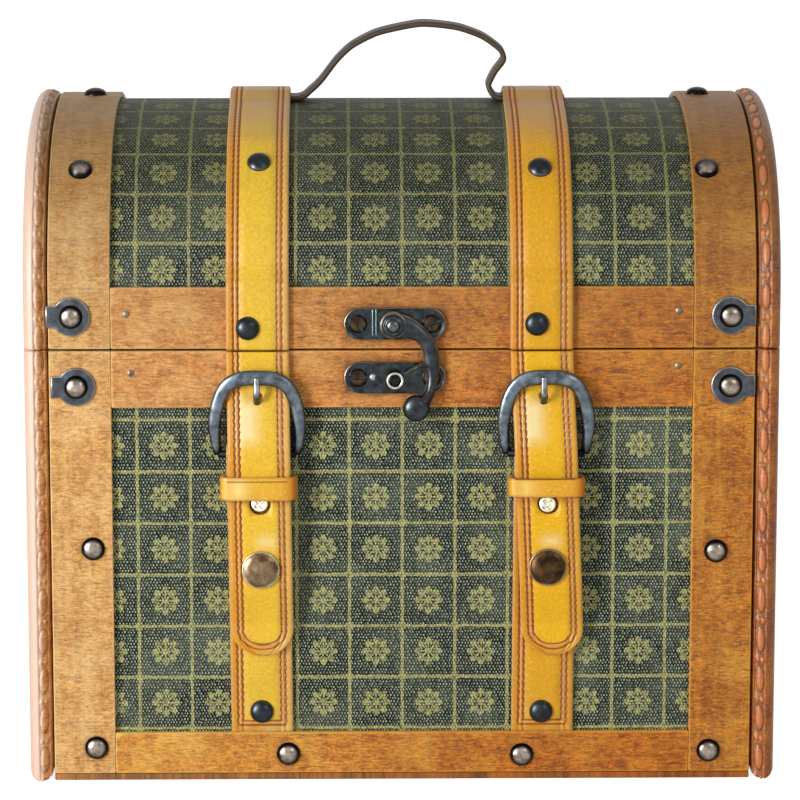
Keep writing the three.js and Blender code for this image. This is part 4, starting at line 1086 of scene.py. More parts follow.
# Iron corner tabs beside the seam: a round pad with a neck running out under the molding, each
# held by one nail.
tab_iron = metal("tab_iron", (44, 49, 56), (76, 80, 86), (150, 148, 142), 0.28, 0.8)
tab_shifts = {"lid_left": -0.7, "base_left": 0.7}
tab_radius = 6.2
tab_thickness = 0.8
tab_neck = 7.0
tab_from_edge = 8.0
lid_tab_rise = 10.9
base_tab_drop = 11.8
plate_edge = ((0.0, 0.0), (0.0, 0.5), (0.12, 0.8), (0.35, 0.97), (0.8, 1.0), (1.6, 1.0))


def plate(outline, thickness, edge_steps=plate_edge):
    """A flat plate whose outline is drawn round the origin. Each step of the edge is an inset
    in millimetres and a share of the thickness."""
    outline = np.asarray(outline, float)
    ray = np.linalg.norm(outline, axis=1)[:, None]
    rings = [np.concatenate([outline * (ray - inset) / ray,
                             np.full((len(outline), 1), share * thickness)], 1)
             for inset, share in edge_steps]
    points, faces = poled(0, np.array(rings), edge_steps[-1][1] * thickness)
    edge = np.concatenate([[0], *[np.full(len(outline), inset) for inset, _ in edge_steps],
                           [ray.min()]])
    return points, faces, points[:, :2].copy(), edge


def tab_outline(sign):
    """A circle joined to a straight neck that points outwards."""
    meet = math.asin(tab_neck / 2 / tab_radius)
    turns = np.linspace(meet, 2 * np.pi - meet, 40)
    pad = np.stack([tab_radius * np.cos(turns), tab_radius * np.sin(turns)], -1)
    neck = [(tab_from_edge, -tab_neck / 2), (tab_from_edge, tab_neck / 2)]
    return np.concatenate([pad, neck]) * np.array([sign, 1])


for side, sign in SIDES:
    for body, height in (("lid", seam_height + lid_tab_rise),
                         ("base", seam_height - base_tab_drop)):
        x = sign * (post_outer - tab_from_edge) + tab_shifts.get(f"{body}_{side}", 0)
        spot = on_front(x, height, strip_face + seat)
        make(f"{body}_{side}_tab", placed(plate(tab_outline(sign), tab_thickness), *spot),
             body, tab_iron)
        nail(f"{body}_{side}_tab", body, on_front, x, height, strip_face + seat + tab_thickness)

# The upper straps are mustard leather with burnished brown edges, and run over the lid from
# seam to seam under four nails. Two rows of stitching lie in grooves along each side, with a
# ridge between them. Places across the trunk and down from the seam hold for all the straps.
strap_centre = 45.3
upper_strap_places = {"left": -46.15, "right": 44.4}
tail_places = {"left": (-45.0, -46.2), "right": (48.7, 44.5)}
lower_strap_places = {"left": (-45.3, -46.3), "right": (45.3, 45.9)}
keeper_places = {"left": -46.0, "right": 46.05}
buckle_places = {"left": -46.45, "right": 45.9}
screw_places = {"left": (-45.75, 49.0), "right": (46.35, 49.5)}
snap_places = {"left": (-45.45, 70.5), "right": (46.6, 69.85)}
strap_half = 10.0
strap_thickness = 2.0
lower_thickness = 1.8
leather_seat = 0.3
strap_ramp = 6.0
strap_nail_rise = 8.6
strap_foot_nail = 7.1
handle_thickness = 1.8
handle_width = 11.0
clearance = 0.3
stitch_insets = (2.4, 3.95)
stitch_pitch = 2.5
stitch_length = 2.3
stitch_width = 0.46
stitch_slant = math.radians(13)
groove_depth = 0.3
groove_half = 0.3
stitch_rise = 0.12
ridge_height = 0.12
ridge_half = 0.35
edge_turn = 0.9
edge_insets = (0, 0.1, 0.3, 0.6, 1.1, 1.8)
groove_steps = (-0.35, -0.15, 0.0, 0.15, 0.35)
inner_columns = (1.7, 3.4)
leather_step = 1.0


leather_look, given = look("leather_look", {
    "Middle": white_value, "Left": white_value, "Right": white_value, "Brown": white_value,
    "Crack": white_value, "Pale": white_value, "Cracking": 0.15},
    {"Color": "Color", "Gloss": "Float", "Height": "Float"})
tree = leather_look
flat = surface_place(tree)
across = node(tree, "ShaderNodeSeparateXYZ", {0: flat}).outputs[0]
patch = noise(tree, flat, 0.07, 4, 0.6)
small = noise(tree, flat, 0.9, 5, 0.7)
pores = noise(tree, flat, 3.2, 3, 0.6)
# Painted light: the left margin takes a darker colour, painted shade, and the right margin a
# paler one, a painted highlight on its curve.
margin = fading(tree, edge_distance(tree), 1.5, 5.5, 1.0, 0.0)
rightward = fading(tree, across, -3.0, 3.0)
tone = mixed(tree, times(tree, margin, 0.85), given["Middle"],
             mixed(tree, rightward, given["Left"], given["Right"]))
tone = coated(tree, tone, (patch, 0.5, 0.72, 0.4, given["Brown"]))
cell = node(tree, "ShaderNodeTexVoronoi", {"Vector": flat, "Scale": 0.55, "Randomness": 1.0},
            feature="DISTANCE_TO_EDGE").outputs["Distance"]
where = ramp(tree, noise(tree, flat, 0.16, 3, 0.6), (0.5, 0), (0.66, 1))
cracked = times(tree, ramp(tree, cell, (0.0, 1), (0.05, 0)), where)
cracked = times(tree, cracked, given["Cracking"])
tone = mixed(tree, cracked, tone, given["Crack"])
tone = coated(tree, tone, (small, 0.48, 0.7, 0.5, given["Brown"]),
              (small, 0.46, 0.3, 0.4, given["Pale"]), (pores, 0.52, 0.68, 0.34, given["Crack"]))
tone = mixed(tree, times(tree, worn_edge(tree, 0.3), 0.6), tone, given["Pale"])
node(tree, "NodeGroupOutput", {
    "Color": tone, "Gloss": times(tree, small, 0.2),
    "Height": minus(tree, times(tree, pores, 0.5), cracked)})

crest_near = 0.204
crest_high = 0.2155
groove_reach = 0.42
ridge_reach = 0.45
scallop_depth = 0.3


def leather(name, middle, left, right, brown, crack, pale, rough, cracking=0.12, sewn=None,
            crest=None, rubbed_and_lit=()):
    """Worn leather with painted shade on its left margin and a painted highlight on its right
    one. Sewn gives the colours of the stitch grooves and of the ridge between them, crest the
    tan of the dome's top, partly faded leather and partly painted shade, and rubbed_and_lit
    the soft patches of painted highlight and painted shade (x, z, reach, half width, half
    height, strength, colour)."""
    made, tree = new_material(name)
    seen = placed_look(
        tree, leather_look, Middle=colour(*middle), Left=colour(*left), Right=colour(*right),
        Brown=colour(*brown), Crack=colour(*crack), Pale=colour(*pale), Cracking=cracking)
    tone = seen["Color"]
    # The crest tint is partly faded leather and partly painted shade on the lid's top.
    if crest:
        share = fading(tree, object_place(tree)[2], crest_near, crest_high, 0.0, 0.8)
        tone = mixed(tree, share, tone, colour(*crest))
    for *box, strength, patch_colour in rubbed_and_lit:
        tone = mixed(tree, times(tree, near(tree, *box), strength), tone,
                     colour(*patch_colour))
    if sewn:
        along = node(tree, "ShaderNodeSeparateXYZ", {0: surface_place(tree)}).outputs[1]
        scallop = calc(tree, "ABSOLUTE", calc(tree, "SINE", times(
            tree, along, math.pi / stitch_pitch)))
        inset = plus(tree, edge_distance(tree), times(tree, scallop, scallop_depth))
        ridge, *grooves = (calc(tree, "ABSOLUTE", minus(tree, inset, line))
                           for line in (sum(stitch_insets) / 2, *stitch_insets))
        tone = coated(tree, tone, (ridge, ridge_reach + 0.25, ridge_reach, 0.75, sewn[1]),
                      *((off, groove_reach, 0.14, 0.85, sewn[0]) for off in grooves))
    finish(tree, tone, plus(tree, rough, seen["Gloss"]), seen["Height"], 0.14, specular=0.25)
    return made


stitch_stains = (colour(118, 56, 12), colour(222, 150, 70))
# Painted shade: the right strap's colours are a darker, more orange copy of the left's, for the
# side away from the key light.
strap_leathers = {
    side: leather(f"strap_leather_{side}", middle, (212, 136, 30), right, (196, 138, 56),
                  (140, 84, 28), (236, 214, 160), 0.32, sewn=stitch_stains,
                  crest=(184, 140, 88))
    for side, middle, right in (("left", (236, 194, 50), (222, 172, 96)),
                                ("right", (229, 167, 10), (214, 148, 44)))}
# Painted light on the tails: the cream patches are painted highlights where the leather bulges
# below the prong and above the snap, the tan band is a painted shadow just under the keeper, and
# the right tail's colours are a more orange copy, painted shade away from the key light.
cream = (250, 232, 176)
tan = (176, 104, 22)
tail_leathers = {
    side: leather(f"tail_leather_{side}", middle, (218, 140, 28), right, (214, 150, 36),
                  (148, 90, 30), (244, 218, 150), 0.3, sewn=stitch_stains, rubbed_and_lit=(
                      (x - 3.5, 119.5, 6.5, 0.8, 4.0, 0.8, cream),
                      (x + 2.5, 80.5, 5.0, 1.0, 0.0, 0.6, cream),
                      (x, 93.9, 3.0, 9.0, 0.2, 0.6, tan)))
    for side, x, middle, right in (
        ("left", -46.0, (242, 196, 48), (224, 174, 92)),
        ("right", 45.2, (244, 187, 8), (222, 158, 54)))}
thread, tree = new_material("thread")
twist = node(tree, "ShaderNodeTexWave", {"Vector": surface_place(tree),
             "Scale": 1.2, "Distortion": 1.5}, bands_direction="DIAGONAL").outputs["Fac"]
finish(tree, mixed(tree, twist, colour(128, 60, 14), colour(176, 98, 34)), 0.7, twist, 0.1)


def strap_columns(half, extra=()):
    """Places across a strap, close together at its edges, grooves and ridges."""
    close = [half - inset + step for inset in stitch_insets for step in groove_steps]
    ridge = half - sum(stitch_insets) / 2
    side = [half - inset for inset in edge_insets]
    positive = sorted({round(v, 3) for v in (*side, *close, ridge, *inner_columns, *extra)})
    return np.array([-v for v in reversed(positive)] + [0.0] + positive)


def strap_profile(across, half, thickness):
    """Heights of a strap's two faces: rounded edges, two grooves a side, a ridge between."""
    inset = half - np.abs(across)
    rounding = 1 - np.sqrt(np.clip(1 - (1 - np.clip(inset / edge_turn, 0, 1)) ** 2, 0, 1))
    top = thickness * (1 - 0.5 * rounding)
    for groove in stitch_insets:
        top = top - groove_depth * np.exp(-((inset - groove) / groove_half) ** 2)
    top = top + ridge_height * np.exp(-((inset - sum(stitch_insets) / 2) / ridge_half) ** 2)
    return top, thickness * 0.35 * rounding


def run_along(line):
    """The distance along a line from its first point to each of its points."""
    return np.concatenate([[0], np.cumsum(np.linalg.norm(np.diff(line, axis=0), axis=1))])


def unit(vectors):
    """Vectors, one in each row, brought to length one."""
    return vectors / np.linalg.norm(vectors, axis=1)[:, None]


def softened(line, reach):
    """Points smoothed by a moving average over a reach to each side. The line is run on past
    its ends, so that they stay in place."""
    kernel = np.hanning(2 * reach + 3)[1:-1]
    kernel /= kernel.sum()
    longer = np.concatenate([2 * line[0] - line[reach:0:-1], line,
                             2 * line[-1] - line[-2:-reach - 2:-1]])
    return np.stack([np.convolve(column, kernel, "valid") for column in longer.T], -1)


def stitches(place, lines, level, pitch=stitch_pitch):
    """Short slanted stitches along lines of (x, station), each a capsule with six sides."""
    spots, ahead = [], []
    for line in lines:
        line = np.asarray(line, float)
        run = run_along(line)
        at = np.arange(pitch / 2, run[-1] - pitch / 4, pitch)
        for shift, store in ((0, spots), (0.05, ahead)):
            store.append(np.stack([np.interp(at + shift, run, line[:, k]) for k in (0, 1)], -1))
    spots, ahead = np.concatenate(spots), np.concatenate(ahead)

    def lift(flat, offset):
        y, z = place(flat[:, 1], np.full(len(flat), offset))
        return np.stack([flat[:, 0], y + 0 * z, z + 0 * y], -1)

    centre = lift(spots, level)
    out = unit(lift(spots, level + 0.1) - centre)
    along = unit(lift(ahead, level) - centre)
    beside = np.cross(along, out)
    along, beside = (along * math.cos(stitch_slant) + beside * math.sin(stitch_slant),
                     beside * math.cos(stitch_slant) - along * math.sin(stitch_slant))
    shape = ((-0.5, 0.3, -0.5), (-0.3, 0.9, 0.0), (0.3, 0.9, 0.0), (0.5, 0.3, -0.5))
    turns = np.arange(6) * np.pi / 3
    rings = []
    for reach, wide, dip in shape:
        ring = (centre + along * reach * stitch_length + out * dip * stitch_width)[:, None]
        ring = ring + wide * stitch_width / 2 * (
            np.cos(turns)[None, :, None] * beside[:, None]
            + np.sin(turns)[None, :, None] * out[:, None])
        rings.append(ring)
    points = np.stack(rings, 1)
    count = len(spots)
    index = np.arange(count * 24).reshape(count, 4, 6)
    after = np.roll(index, -1, 2)
    faces = np.stack([index[:, :-1], after[:, :-1], after[:, 1:], index[:, 1:]], -1)
    faces = faces.reshape(-1, 4).tolist()
    faces += index[:, 0, ::-1].tolist() + index[:, 3].tolist()
    uv = points[..., [0, 2]].reshape(-1, 2)
    return points.reshape(-1, 3), faces, uv, np.full(count * 24, 1.0)


def straight_rows(low, high, half=strap_half):
    """Lines of stitching along both sides of a strap."""
    return [np.array([(sign * (half - inset), low), (sign * (half - inset), high)])
            for inset in stitch_insets for sign in (-1, 1)]


def leaned(parts, places, heights=(0, 1)):
    """A form moved sideways: its places at two heights, evenly between them. The pattern is
    moved along it too, so that no two pieces look the same."""
    points, faces, uv, edge = parts
    places = np.broadcast_to(places, 2)
    shift = np.interp(points[:, 2], heights, places)
    return (points + np.stack([shift, 0 * shift, 0 * shift], -1), faces,
            uv + np.array([0, 3.7 * places[0]]), edge)


handle_station = distance_at_lean(nail_leans[1])
over_rail = strip_face
over_handle = handle_thickness + leather_seat
lift_stations, lift_levels = zip(
    (0, over_rail), (lid_rail_height + clearance, over_rail),
    (lid_rail_height + clearance + strap_ramp, 0),
    (handle_station - handle_width / 2 - strap_ramp, 0),
    (handle_station - handle_width / 2, over_handle),
    (handle_station + handle_width / 2, over_handle),
    (handle_station + handle_width / 2 + strap_ramp, 0),
    (outline_length - lid_rail_height - clearance - strap_ramp, 0),
    (outline_length - lid_rail_height - clearance, over_rail), (outline_length, over_rail))


def strap_place(distance, offset):
    """Lies on the lid's canvas and steps up over the rails and over the handle's ends."""
    lift = np.interp(distance, lift_stations, lift_levels)
    return lid_place(distance, offset + leather_seat + lift)


strap_across = strap_columns(strap_half)
strap_top, strap_bottom = strap_profile(strap_across, strap_half, strap_thickness)
strap_nails = (("seam", strap_nail_rise), nail_rows[0], nail_rows[2],
               ("back_seam", outline_length - strap_nail_rise))
stitch_level = strap_thickness - groove_depth + stitch_rise / 2
for side, x in upper_strap_places.items():
    make(f"upper_strap_{side}", leaned(slab(strap_place, evenly(seam_gap / 2,
         outline_length - seam_gap / 2, leather_step), strap_across, strap_top, strap_bottom,
         ends=False), x), "lid", strap_leathers[side])
    make(f"upper_strap_{side}_stitching", leaned(stitches(strap_place, straight_rows(
         seam_gap, outline_length - seam_gap), stitch_level), x), "lid", thread)
    for row, distance in strap_nails:
        lift = float(np.interp(distance, lift_stations, lift_levels))
        nail(f"{side}_strap_{row}", "lid", on_lid, x, distance,
             leather_seat + strap_thickness + lift)

# Each lower strap is nailed at its foot, runs up to the buckle, folds over the heel bar through
# a slot for the prong, and hangs down as a short flap held by a screw.
heel_drop = 33.5
heel_radius = 1.2
heel_height = seam_height - heel_drop
flap_drop = 20.8
fold_taper = 5.0
prong_width = 2.2
prong_thickness = 1.6
lower_face = leather_seat + lower_thickness
heel_offset = lower_face + clearance + heel_radius
fold_inside = heel_radius + clearance
fold_outside = fold_inside + lower_thickness
keeper_thickness = 1.5
flap_back = lower_face + clearance + keeper_thickness + clearance
flap_face = flap_back + lower_thickness
path_step = 0.2


def path_place(points, softness, turn):
    """Follows a line of (offset, height) points whose corners are softened over a length by a
    moving average. A piece's own offset is measured to one side of the line, by its turn.
    Returns the place, the length and the station of each point."""
    points = np.asarray(points, float)
    marks = run_along(points)
    fine = np.linspace(0, marks[-1], round(marks[-1] / path_step) + 1)
    line = np.stack([np.interp(fine, marks, points[:, k]) for k in (0, 1)], -1)
    line = softened(line, max(1, round(softness / path_step / 2)))
    tangent = unit(np.gradient(line, axis=0))
    normal = turn * np.stack([tangent[:, 1], -tangent[:, 0]], -1)

    def place(station, offset):
        u, z = (np.interp(station, fine, line[:, k])
                + offset * np.interp(station, fine, normal[:, k]) for k in (0, 1))
        return -half_depth - u, z

    return place, marks[-1], marks


def stations_through(marks, pitch):
    """Stations about a pitch apart that pass through every mark."""
    runs = [evenly(a, b, pitch)[:-1] for a, b in zip(marks[:-1], marks[1:])]
    return np.concatenate([*runs, [marks[-1]]])


fold_turns = np.linspace(np.pi, 0, 25)
lower_run = [(leather_seat, board_foot + foot_rail_height + seat), (leather_seat, heel_height)]
lower_run += [(heel_offset + fold_outside * math.cos(t), heel_height + fold_outside * math.sin(t))
              for t in fold_turns[1:]]
lower_run += [(flap_face, heel_height - fold_taper), (flap_face, heel_height - flap_drop)]
lower_place, lower_length, lower_marks = path_place(lower_run, 0.8, 1)
slot_half = prong_width / 2 + clearance
slot_low = lower_marks[1] - fold_taper
slot_high = lower_marks[-2]
lower_stations = stations_through([0, slot_low, slot_high, lower_length], 0.9)
lower_across = strap_columns(strap_half, (slot_half,))
lower_top, lower_bottom = strap_profile(lower_across, strap_half, lower_thickness)
slot_rows = [int(np.abs(lower_stations - s).argmin()) for s in (slot_low, slot_high)]
slot_columns = [int(np.abs(lower_across - x).argmin()) for x in (-slot_half, slot_half)]
foot_stitch_gap = 4.0
strap_foot = board_foot + foot_rail_height + seat
for side, places in lower_strap_places.items():
    heights = (strap_foot, heel_height)
    points, faces, uv, edge = slab(lower_place, lower_stations, lower_across, lower_top,
                                   lower_bottom, holes=[(*slot_rows, *slot_columns, 0)])
    layer = len(lower_stations) * len(lower_across)
    edge[layer:2 * layer] = edge[:layer]
    make(f"lower_strap_{side}", leaned((points, faces, uv, edge), places, heights),
         "base", strap_leathers[side])
    sewn = stitches(lower_place, straight_rows(foot_stitch_gap, slot_low),
                    lower_thickness - groove_depth + stitch_rise)
    make(f"lower_strap_{side}_stitching", leaned(sewn, places, heights), "base", thread)
    nail(f"{side}_strap_foot", "base", on_front, places[0], strap_foot + strap_foot_nail,
         lower_face)

# The tail of each strap hangs from the seam over the buckle's bar and the fold, lies through
# the keeper, and ends in a rounded tip past the snap. It hangs a little to the right.
tail_length = 99.6
tail_tip = 8.6
buckle_height = 25.2
buckle_side_space = 1.7
leg_width = 4.15
top_bar_width = 4.9
leg_tip_width = 2.8
leg_lean = 1.3
buckle_thickness = 2.4
buckle_squareness = 0.62
frame_corner_share = 0.8
prong_slot = (5.4, 8.1)
prong_slot_width = 3.0
keeper_drop = 43.8
keeper_height = 7.6
screw_drop = 49.25
screw_head_radius = 3.1
screw_head_height = 1.7
snap_drop = 70.2
snap_cap_radius = 6.1
snap_cap_height = 1.9
snap_post_radius = 1.7
snap_floor = 0.4
stud_flange_height = 0.5
stud_height = 1.9
tip_share = 0.55
tail_over_heel = heel_offset + fold_outside + clearance
tail_over_flap = flap_face + clearance
snap_plate = lower_face + seat + stud_flange_height + stud_height + clearance
tail_over_snap = snap_plate + snap_floor + clearance
tail_over_tip = lower_face + clearance
tail_run = [(offset, base_top - drop) for offset, drop in (
    (strip_face + leather_seat, 0),
    (strip_face + leather_seat, heel_drop - frame_corner_share * buckle_height),
    (tail_over_heel, heel_drop - fold_outside), (tail_over_heel, heel_drop + fold_inside),
    (tail_over_flap, keeper_drop - keeper_height / 2), (tail_over_flap, heel_drop + flap_drop),
    (tail_over_snap, snap_drop - snap_cap_radius), (tail_over_snap, snap_drop + snap_cap_radius),
    (tail_over_tip, snap_drop + 3 * snap_cap_radius), (tail_over_tip, tail_length))]
tail_place, tail_run_length, tail_marks = path_place(tail_run, 4.0, -1)
tail_heights = [z for _, z in tail_run]


def tail_station(height):
    """The station of a height on the tail."""
    return float(np.interp(-height, [-z for z in tail_heights], tail_marks))


bar_height = heel_height + buckle_height
slot_at = tail_station(bar_height - sum(prong_slot) / 2)
screw_at = tail_station(seam_height - screw_drop)
snap_at = tail_station(seam_height - snap_drop)
hole_margin = 1.3
slot_hole = prong_slot_width / 2
screw_hole = screw_head_radius + clearance
snap_hole = snap_post_radius + 4 * clearance
tip_start = tail_run_length - tail_tip
tip_turns = np.linspace(0, np.pi / 2, 26)
tail_stations = np.concatenate([
    stations_through([0, *(at + end * hole_margin * r for at, r in (
        (slot_at, slot_hole), (screw_at, screw_hole), (snap_at, snap_hole))
        for end in (-1, 1)), tip_start], 0.8)[:-1],
    tip_start + tail_tip * np.sin(tip_turns)])
tail_spread = np.sqrt(np.clip(1 - (np.clip(tail_stations - tip_start, 0, None) / tail_tip) ** 2,
                              4e-4, 1))
hole_columns = [r * hole_margin for r in (slot_hole, screw_hole, snap_hole)]
tail_across = strap_columns(strap_half, hole_columns)
tail_top, tail_bottom = strap_profile(tail_across, strap_half, strap_thickness)
tip_round = np.clip((tail_run_length - tail_stations) / 0.5, 0, 1)[:, None]


def hole_at(low, high, half, radius):
    """A hole in the tail's rows and columns."""
    rows = [int(np.abs(tail_stations - s).argmin()) for s in (low, high)]
    columns = [int(np.abs(tail_across - x).argmin()) for x in (-half, half)]
    return (*rows, *columns, radius)


tail_holes = [hole_at(at - r * hole_margin, at + r * hole_margin, r * hole_margin, r)
              for at, r in ((slot_at, slot_hole), (screw_at, screw_hole), (snap_at, snap_hole))]


def round_tip_rows():
    """Lines of stitching down one side, round the tip's half ellipse, and up the other."""
    lines = []
    for inset in stitch_insets:
        turns = np.linspace(0, np.pi, 60)
        bend = np.stack([(strap_half - inset) * np.cos(turns),
                         tip_start + (tail_tip - inset) * np.sin(turns)], -1)
        lines.append(np.concatenate([[(strap_half - inset, 0.8)], bend,
                                     [(inset - strap_half, 0.8)]]))
    return lines


def tip_inset(x, past):
    """How far a place lies inside the tail's edge: the inset of the half ellipse through it,
    found by halving the span between the edge and the middle."""
    low, high = np.zeros_like(x), np.full_like(x, tail_tip - 0.01)
    for _ in range(14):
        middle = (low + high) / 2
        inside = (x / (strap_half - middle)) ** 2 + (past / (tail_tip - middle)) ** 2 < 1
        low, high = np.where(inside, middle, low), np.where(inside, high, middle)
    return low


for side, places in tail_places.items():
    points, faces, uv, edge = slab(tail_place, tail_stations, tail_across,
                                   tail_top * (tip_share + (1 - tip_share) * tip_round),
                                   tail_bottom + 0 * tip_round, tail_spread, tail_holes)
    in_front = np.arange(len(tail_stations) * len(tail_across))
    edge[in_front] = tip_inset(uv[in_front, 0], np.clip(uv[in_front, 1] - tip_start, 0, None))
    rows = stitches(tail_place, round_tip_rows(), strap_thickness - groove_depth + stitch_rise)
    for name, form, paint, gone in (
            (f"strap_tail_{side}", (points, faces, uv, edge), tail_leathers[side],
             [f"strap_tail_{side}"]),
            (f"strap_tail_{side}_stitching", rows, thread, [])):
        piece = make(name, leaned(form, places, (base_top - tail_length, base_top)), None, paint,
                     gone)
        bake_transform(piece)

# The keeper is a narrow band of golden leather wrapped round strap and tail, a little bowed
# in front, with a crease along its upper edge and trimmed by hand, so that no two are alike.
# Its colour carries painted light: a painted highlight on its left, painted shade towards its
# right end, on its far left side and along its top and bottom edges, and a dark line of
# painted shade in the crease. The right keeper's colours are a darker, more orange copy,
# painted shade away from the key light.
keeper_side_space = 0.85
keeper_corner = 2.2
keeper_bow = 0.35
keeper_round = 0.4
keeper_bevel = (0.12, 0.15)
keeper_steps = 120
keeper_trims = {"left": (0.0, 0.0), "right": (0.9, -0.6)}
keeper_middle = seam_height - keeper_drop
keeper_leathers = {
    side: leather(f"keeper_leather_{side}", gold, gold, gold, (210, 134, 30), (130, 72, 24),
                  cream, 0.28, 0.05, rubbed_and_lit=(
                      (x - 6.5, keeper_middle, 7.0, 0.0, 1.0, 0.85, pale),
                      (x + 11.5, keeper_middle, 6.0, 0.0, 3.0, 0.85, (196, 104, 14)),
                      (x - 13.0, keeper_middle, 2.2, 0.0, 3.0, 0.8, (196, 104, 14)),
                      (x, keeper_middle + top, 1.0, 13.0, 0.0, 0.7, (176, 92, 16)),
                      (x, keeper_middle - bottom, 1.3, 13.0, 0.0, 0.8, (190, 108, 22)),
                      (x - 0.5, keeper_middle + crease_shade, 0.5, 9.5, 0.0, 1.0, (96, 44, 8))))
    for side, x, gold, pale, top, bottom, crease_shade in (
        ("left", -46.0, (238, 182, 52), (255, 226, 140), 3.9, 3.9, 2.5),
        ("right", 46.0, (236, 174, 40), (252, 212, 116), 3.3, 2.9, 3.1))}


def keeper_parts(lower_by, upper_by):
    """A rounded section carried round a closed rectangle with rounded corners. Its two edges
    are trimmed by so much at the bottom and the top."""
    half = strap_half + keeper_side_space + keeper_thickness / 2
    low = lower_face + clearance + keeper_thickness / 2
    high = tail_over_flap + strap_thickness + clearance + keeper_thickness / 2
    r = keeper_corner
    turns = np.linspace(0, np.pi / 2, 7)
    line = []
    for cx, cy, start in ((half - r, low + r, -np.pi / 2), (half - r, high - r, 0),
                          (r - half, high - r, np.pi / 2), (r - half, low + r, np.pi)):
        line += [(cx + r * np.cos(start + t), cy + r * np.sin(start + t)) for t in turns]
    loop = np.array([(0.0, low), *line, (0.0, low)])
    marks = run_along(loop)
    at = np.linspace(0, marks[-1], keeper_steps + 1)[:-1]
    path = np.stack([np.interp(at, marks, loop[:, k]) for k in (0, 1)], -1)
    in_front = path[:, 1] > (low + high) / 2
    path[:, 1] += in_front * keeper_bow * (1 - (path[:, 0] / half) ** 2)
    tangent = unit(np.roll(path, -1, 0) - np.roll(path, 1, 0))
    normal = np.stack([tangent[:, 1], -tangent[:, 0]], -1)
    thick, tall = keeper_thickness / 2, keeper_height / 2
    inner, outer = thick - keeper_round, thick - keeper_bevel[0]
    section = [(thick, z) for z in np.linspace(-tall + 0.5, tall - 0.5, 9)]
    section += [(outer, tall - keeper_bevel[1]), (inner, tall), (-inner, tall),
                (-thick, tall - keeper_round), (-thick, keeper_round - tall), (-inner, -tall),
                (inner, -tall), (outer, keeper_bevel[1] - tall)]
    section = np.array(section)
    flat = path[:, None] + normal[:, None] * section[None, :, :1]
    height = np.interp(section[:, 1], (-tall, tall), (lower_by - tall, upper_by + tall))
    points = np.stack([flat[..., 0], -half_depth - flat[..., 1],
                       keeper_middle + height + 0 * flat[..., 0]], -1)
    count = len(section)
    index = np.arange(len(path) * count).reshape(len(path), count)
    faces = bands(np.concatenate([index, index[:1]]))
    uv = np.stack([np.repeat(at[:, None], count, 1), points[..., 2]], -1)
    edge = np.where(section[:, 0] > 0, tall - np.abs(section[:, 1]), 0)
    return points.reshape(-1, 3), faces, uv.reshape(-1, 2), np.tile(edge, len(path))


for side, x in keeper_places.items():
    make(f"keeper_{side}", leaned(keeper_parts(*keeper_trims[side]), x), "base",
         keeper_leathers[side])

# The buckle is a cast horseshoe whose legs taper to the ends of its heel bar. The prong is bent
# round that bar, comes out through the tail's slot and rests on the top bar.
gunmetal = metal("gunmetal", (58, 66, 74), (110, 120, 128), (196, 202, 206), 0.26, 0.1,
                 grain=0.9)
dark_iron = metal("dark_iron", (20, 22, 25), (34, 36, 40), (70, 72, 76), 0.5, 0.0, coat=0.0)
# Painted highlight: the prongs take a brighter copy of the gunmetal, for the light that they
# catch.
lit_prong_iron = metal("lit_prong_iron", (84, 90, 96), (150, 158, 164), (224, 228, 230), 0.26, 0.1,
                   grain=0.9)
prong_places = {"left": -46.4, "right": 45.05}
prong_taper = 12.0
prong_ring_start = -1.35 * np.pi
prong_steps = 90
taper_from = 0.4
frame_over_strap = (strip_face + leather_seat + strap_thickness + clearance
                    + buckle_thickness / 2)
top_bar_offset = heel_offset + (frame_over_strap - heel_offset) / frame_corner_share
leg_offset = strap_half + buckle_side_space + leg_width / 2
buckle_steps = 96
tube_turns = np.arange(16) * np.pi / 8


def barrel(rings):
    """The points and faces of a form whose rings of points are closed by a face at each end."""
    index = np.arange(rings.shape[0] * rings.shape[1]).reshape(rings.shape[:2])
    faces = bands(index) + [tuple(index[0, ::-1]), tuple(index[-1])]
    return rings.reshape(-1, 3), faces


def tube(path, side, out, wide, thick):
    """An oval section of changing width and thickness carried along a path, with its ends
    closed. Side and out are the section's two directions at each point of the path."""
    round_x, round_y = np.cos(tube_turns), np.sin(tube_turns)
    wide, thick = (np.broadcast_to(v, len(path)) / 2 for v in (wide, thick))
    points, faces = barrel(path[:, None] + side[:, None] * (wide[:, None] * round_x)[..., None]
                           + out[:, None] * (thick[:, None] * round_y)[..., None])
    uv = np.stack([wide[:, None] * round_x,
                   np.repeat(run_along(path)[:, None], len(tube_turns), 1)], -1)
    edge = wide[:, None] * (1 - np.abs(round_x)) + 0.6 * (round_y[None] < 0)
    return points, faces, uv.reshape(-1, 2), edge.ravel()


def horseshoe():
    """A half superellipse that leans outwards from the heel bar to the top bar."""
    angle = np.linspace(0, np.pi, buckle_steps + 1)
    x = leg_offset * np.sign(np.cos(angle)) * np.abs(np.cos(angle)) ** buckle_squareness
    rise = buckle_height * np.abs(np.sin(angle)) ** buckle_squareness
    share = rise / buckle_height
    x = x * (1 - leg_lean / leg_offset * np.clip(1 - share / taper_from, 0, 1) ** 1.5)
    offset = heel_offset + (top_bar_offset - heel_offset) * share
    path = np.stack([x, -half_depth - offset, heel_height + rise], -1)
    tangent = unit(np.gradient(path, axis=0))
    out = unit(np.array([0, -1, 0]) - tangent * -tangent[:, 1:2])
    wide = np.where(share < taper_from,
                    leg_tip_width + (leg_width - leg_tip_width) * share / taper_from,
                    leg_width + (top_bar_width - leg_width) * np.sin(angle) ** 4)
    return tube(path, np.cross(tangent, out), out, wide, buckle_thickness)


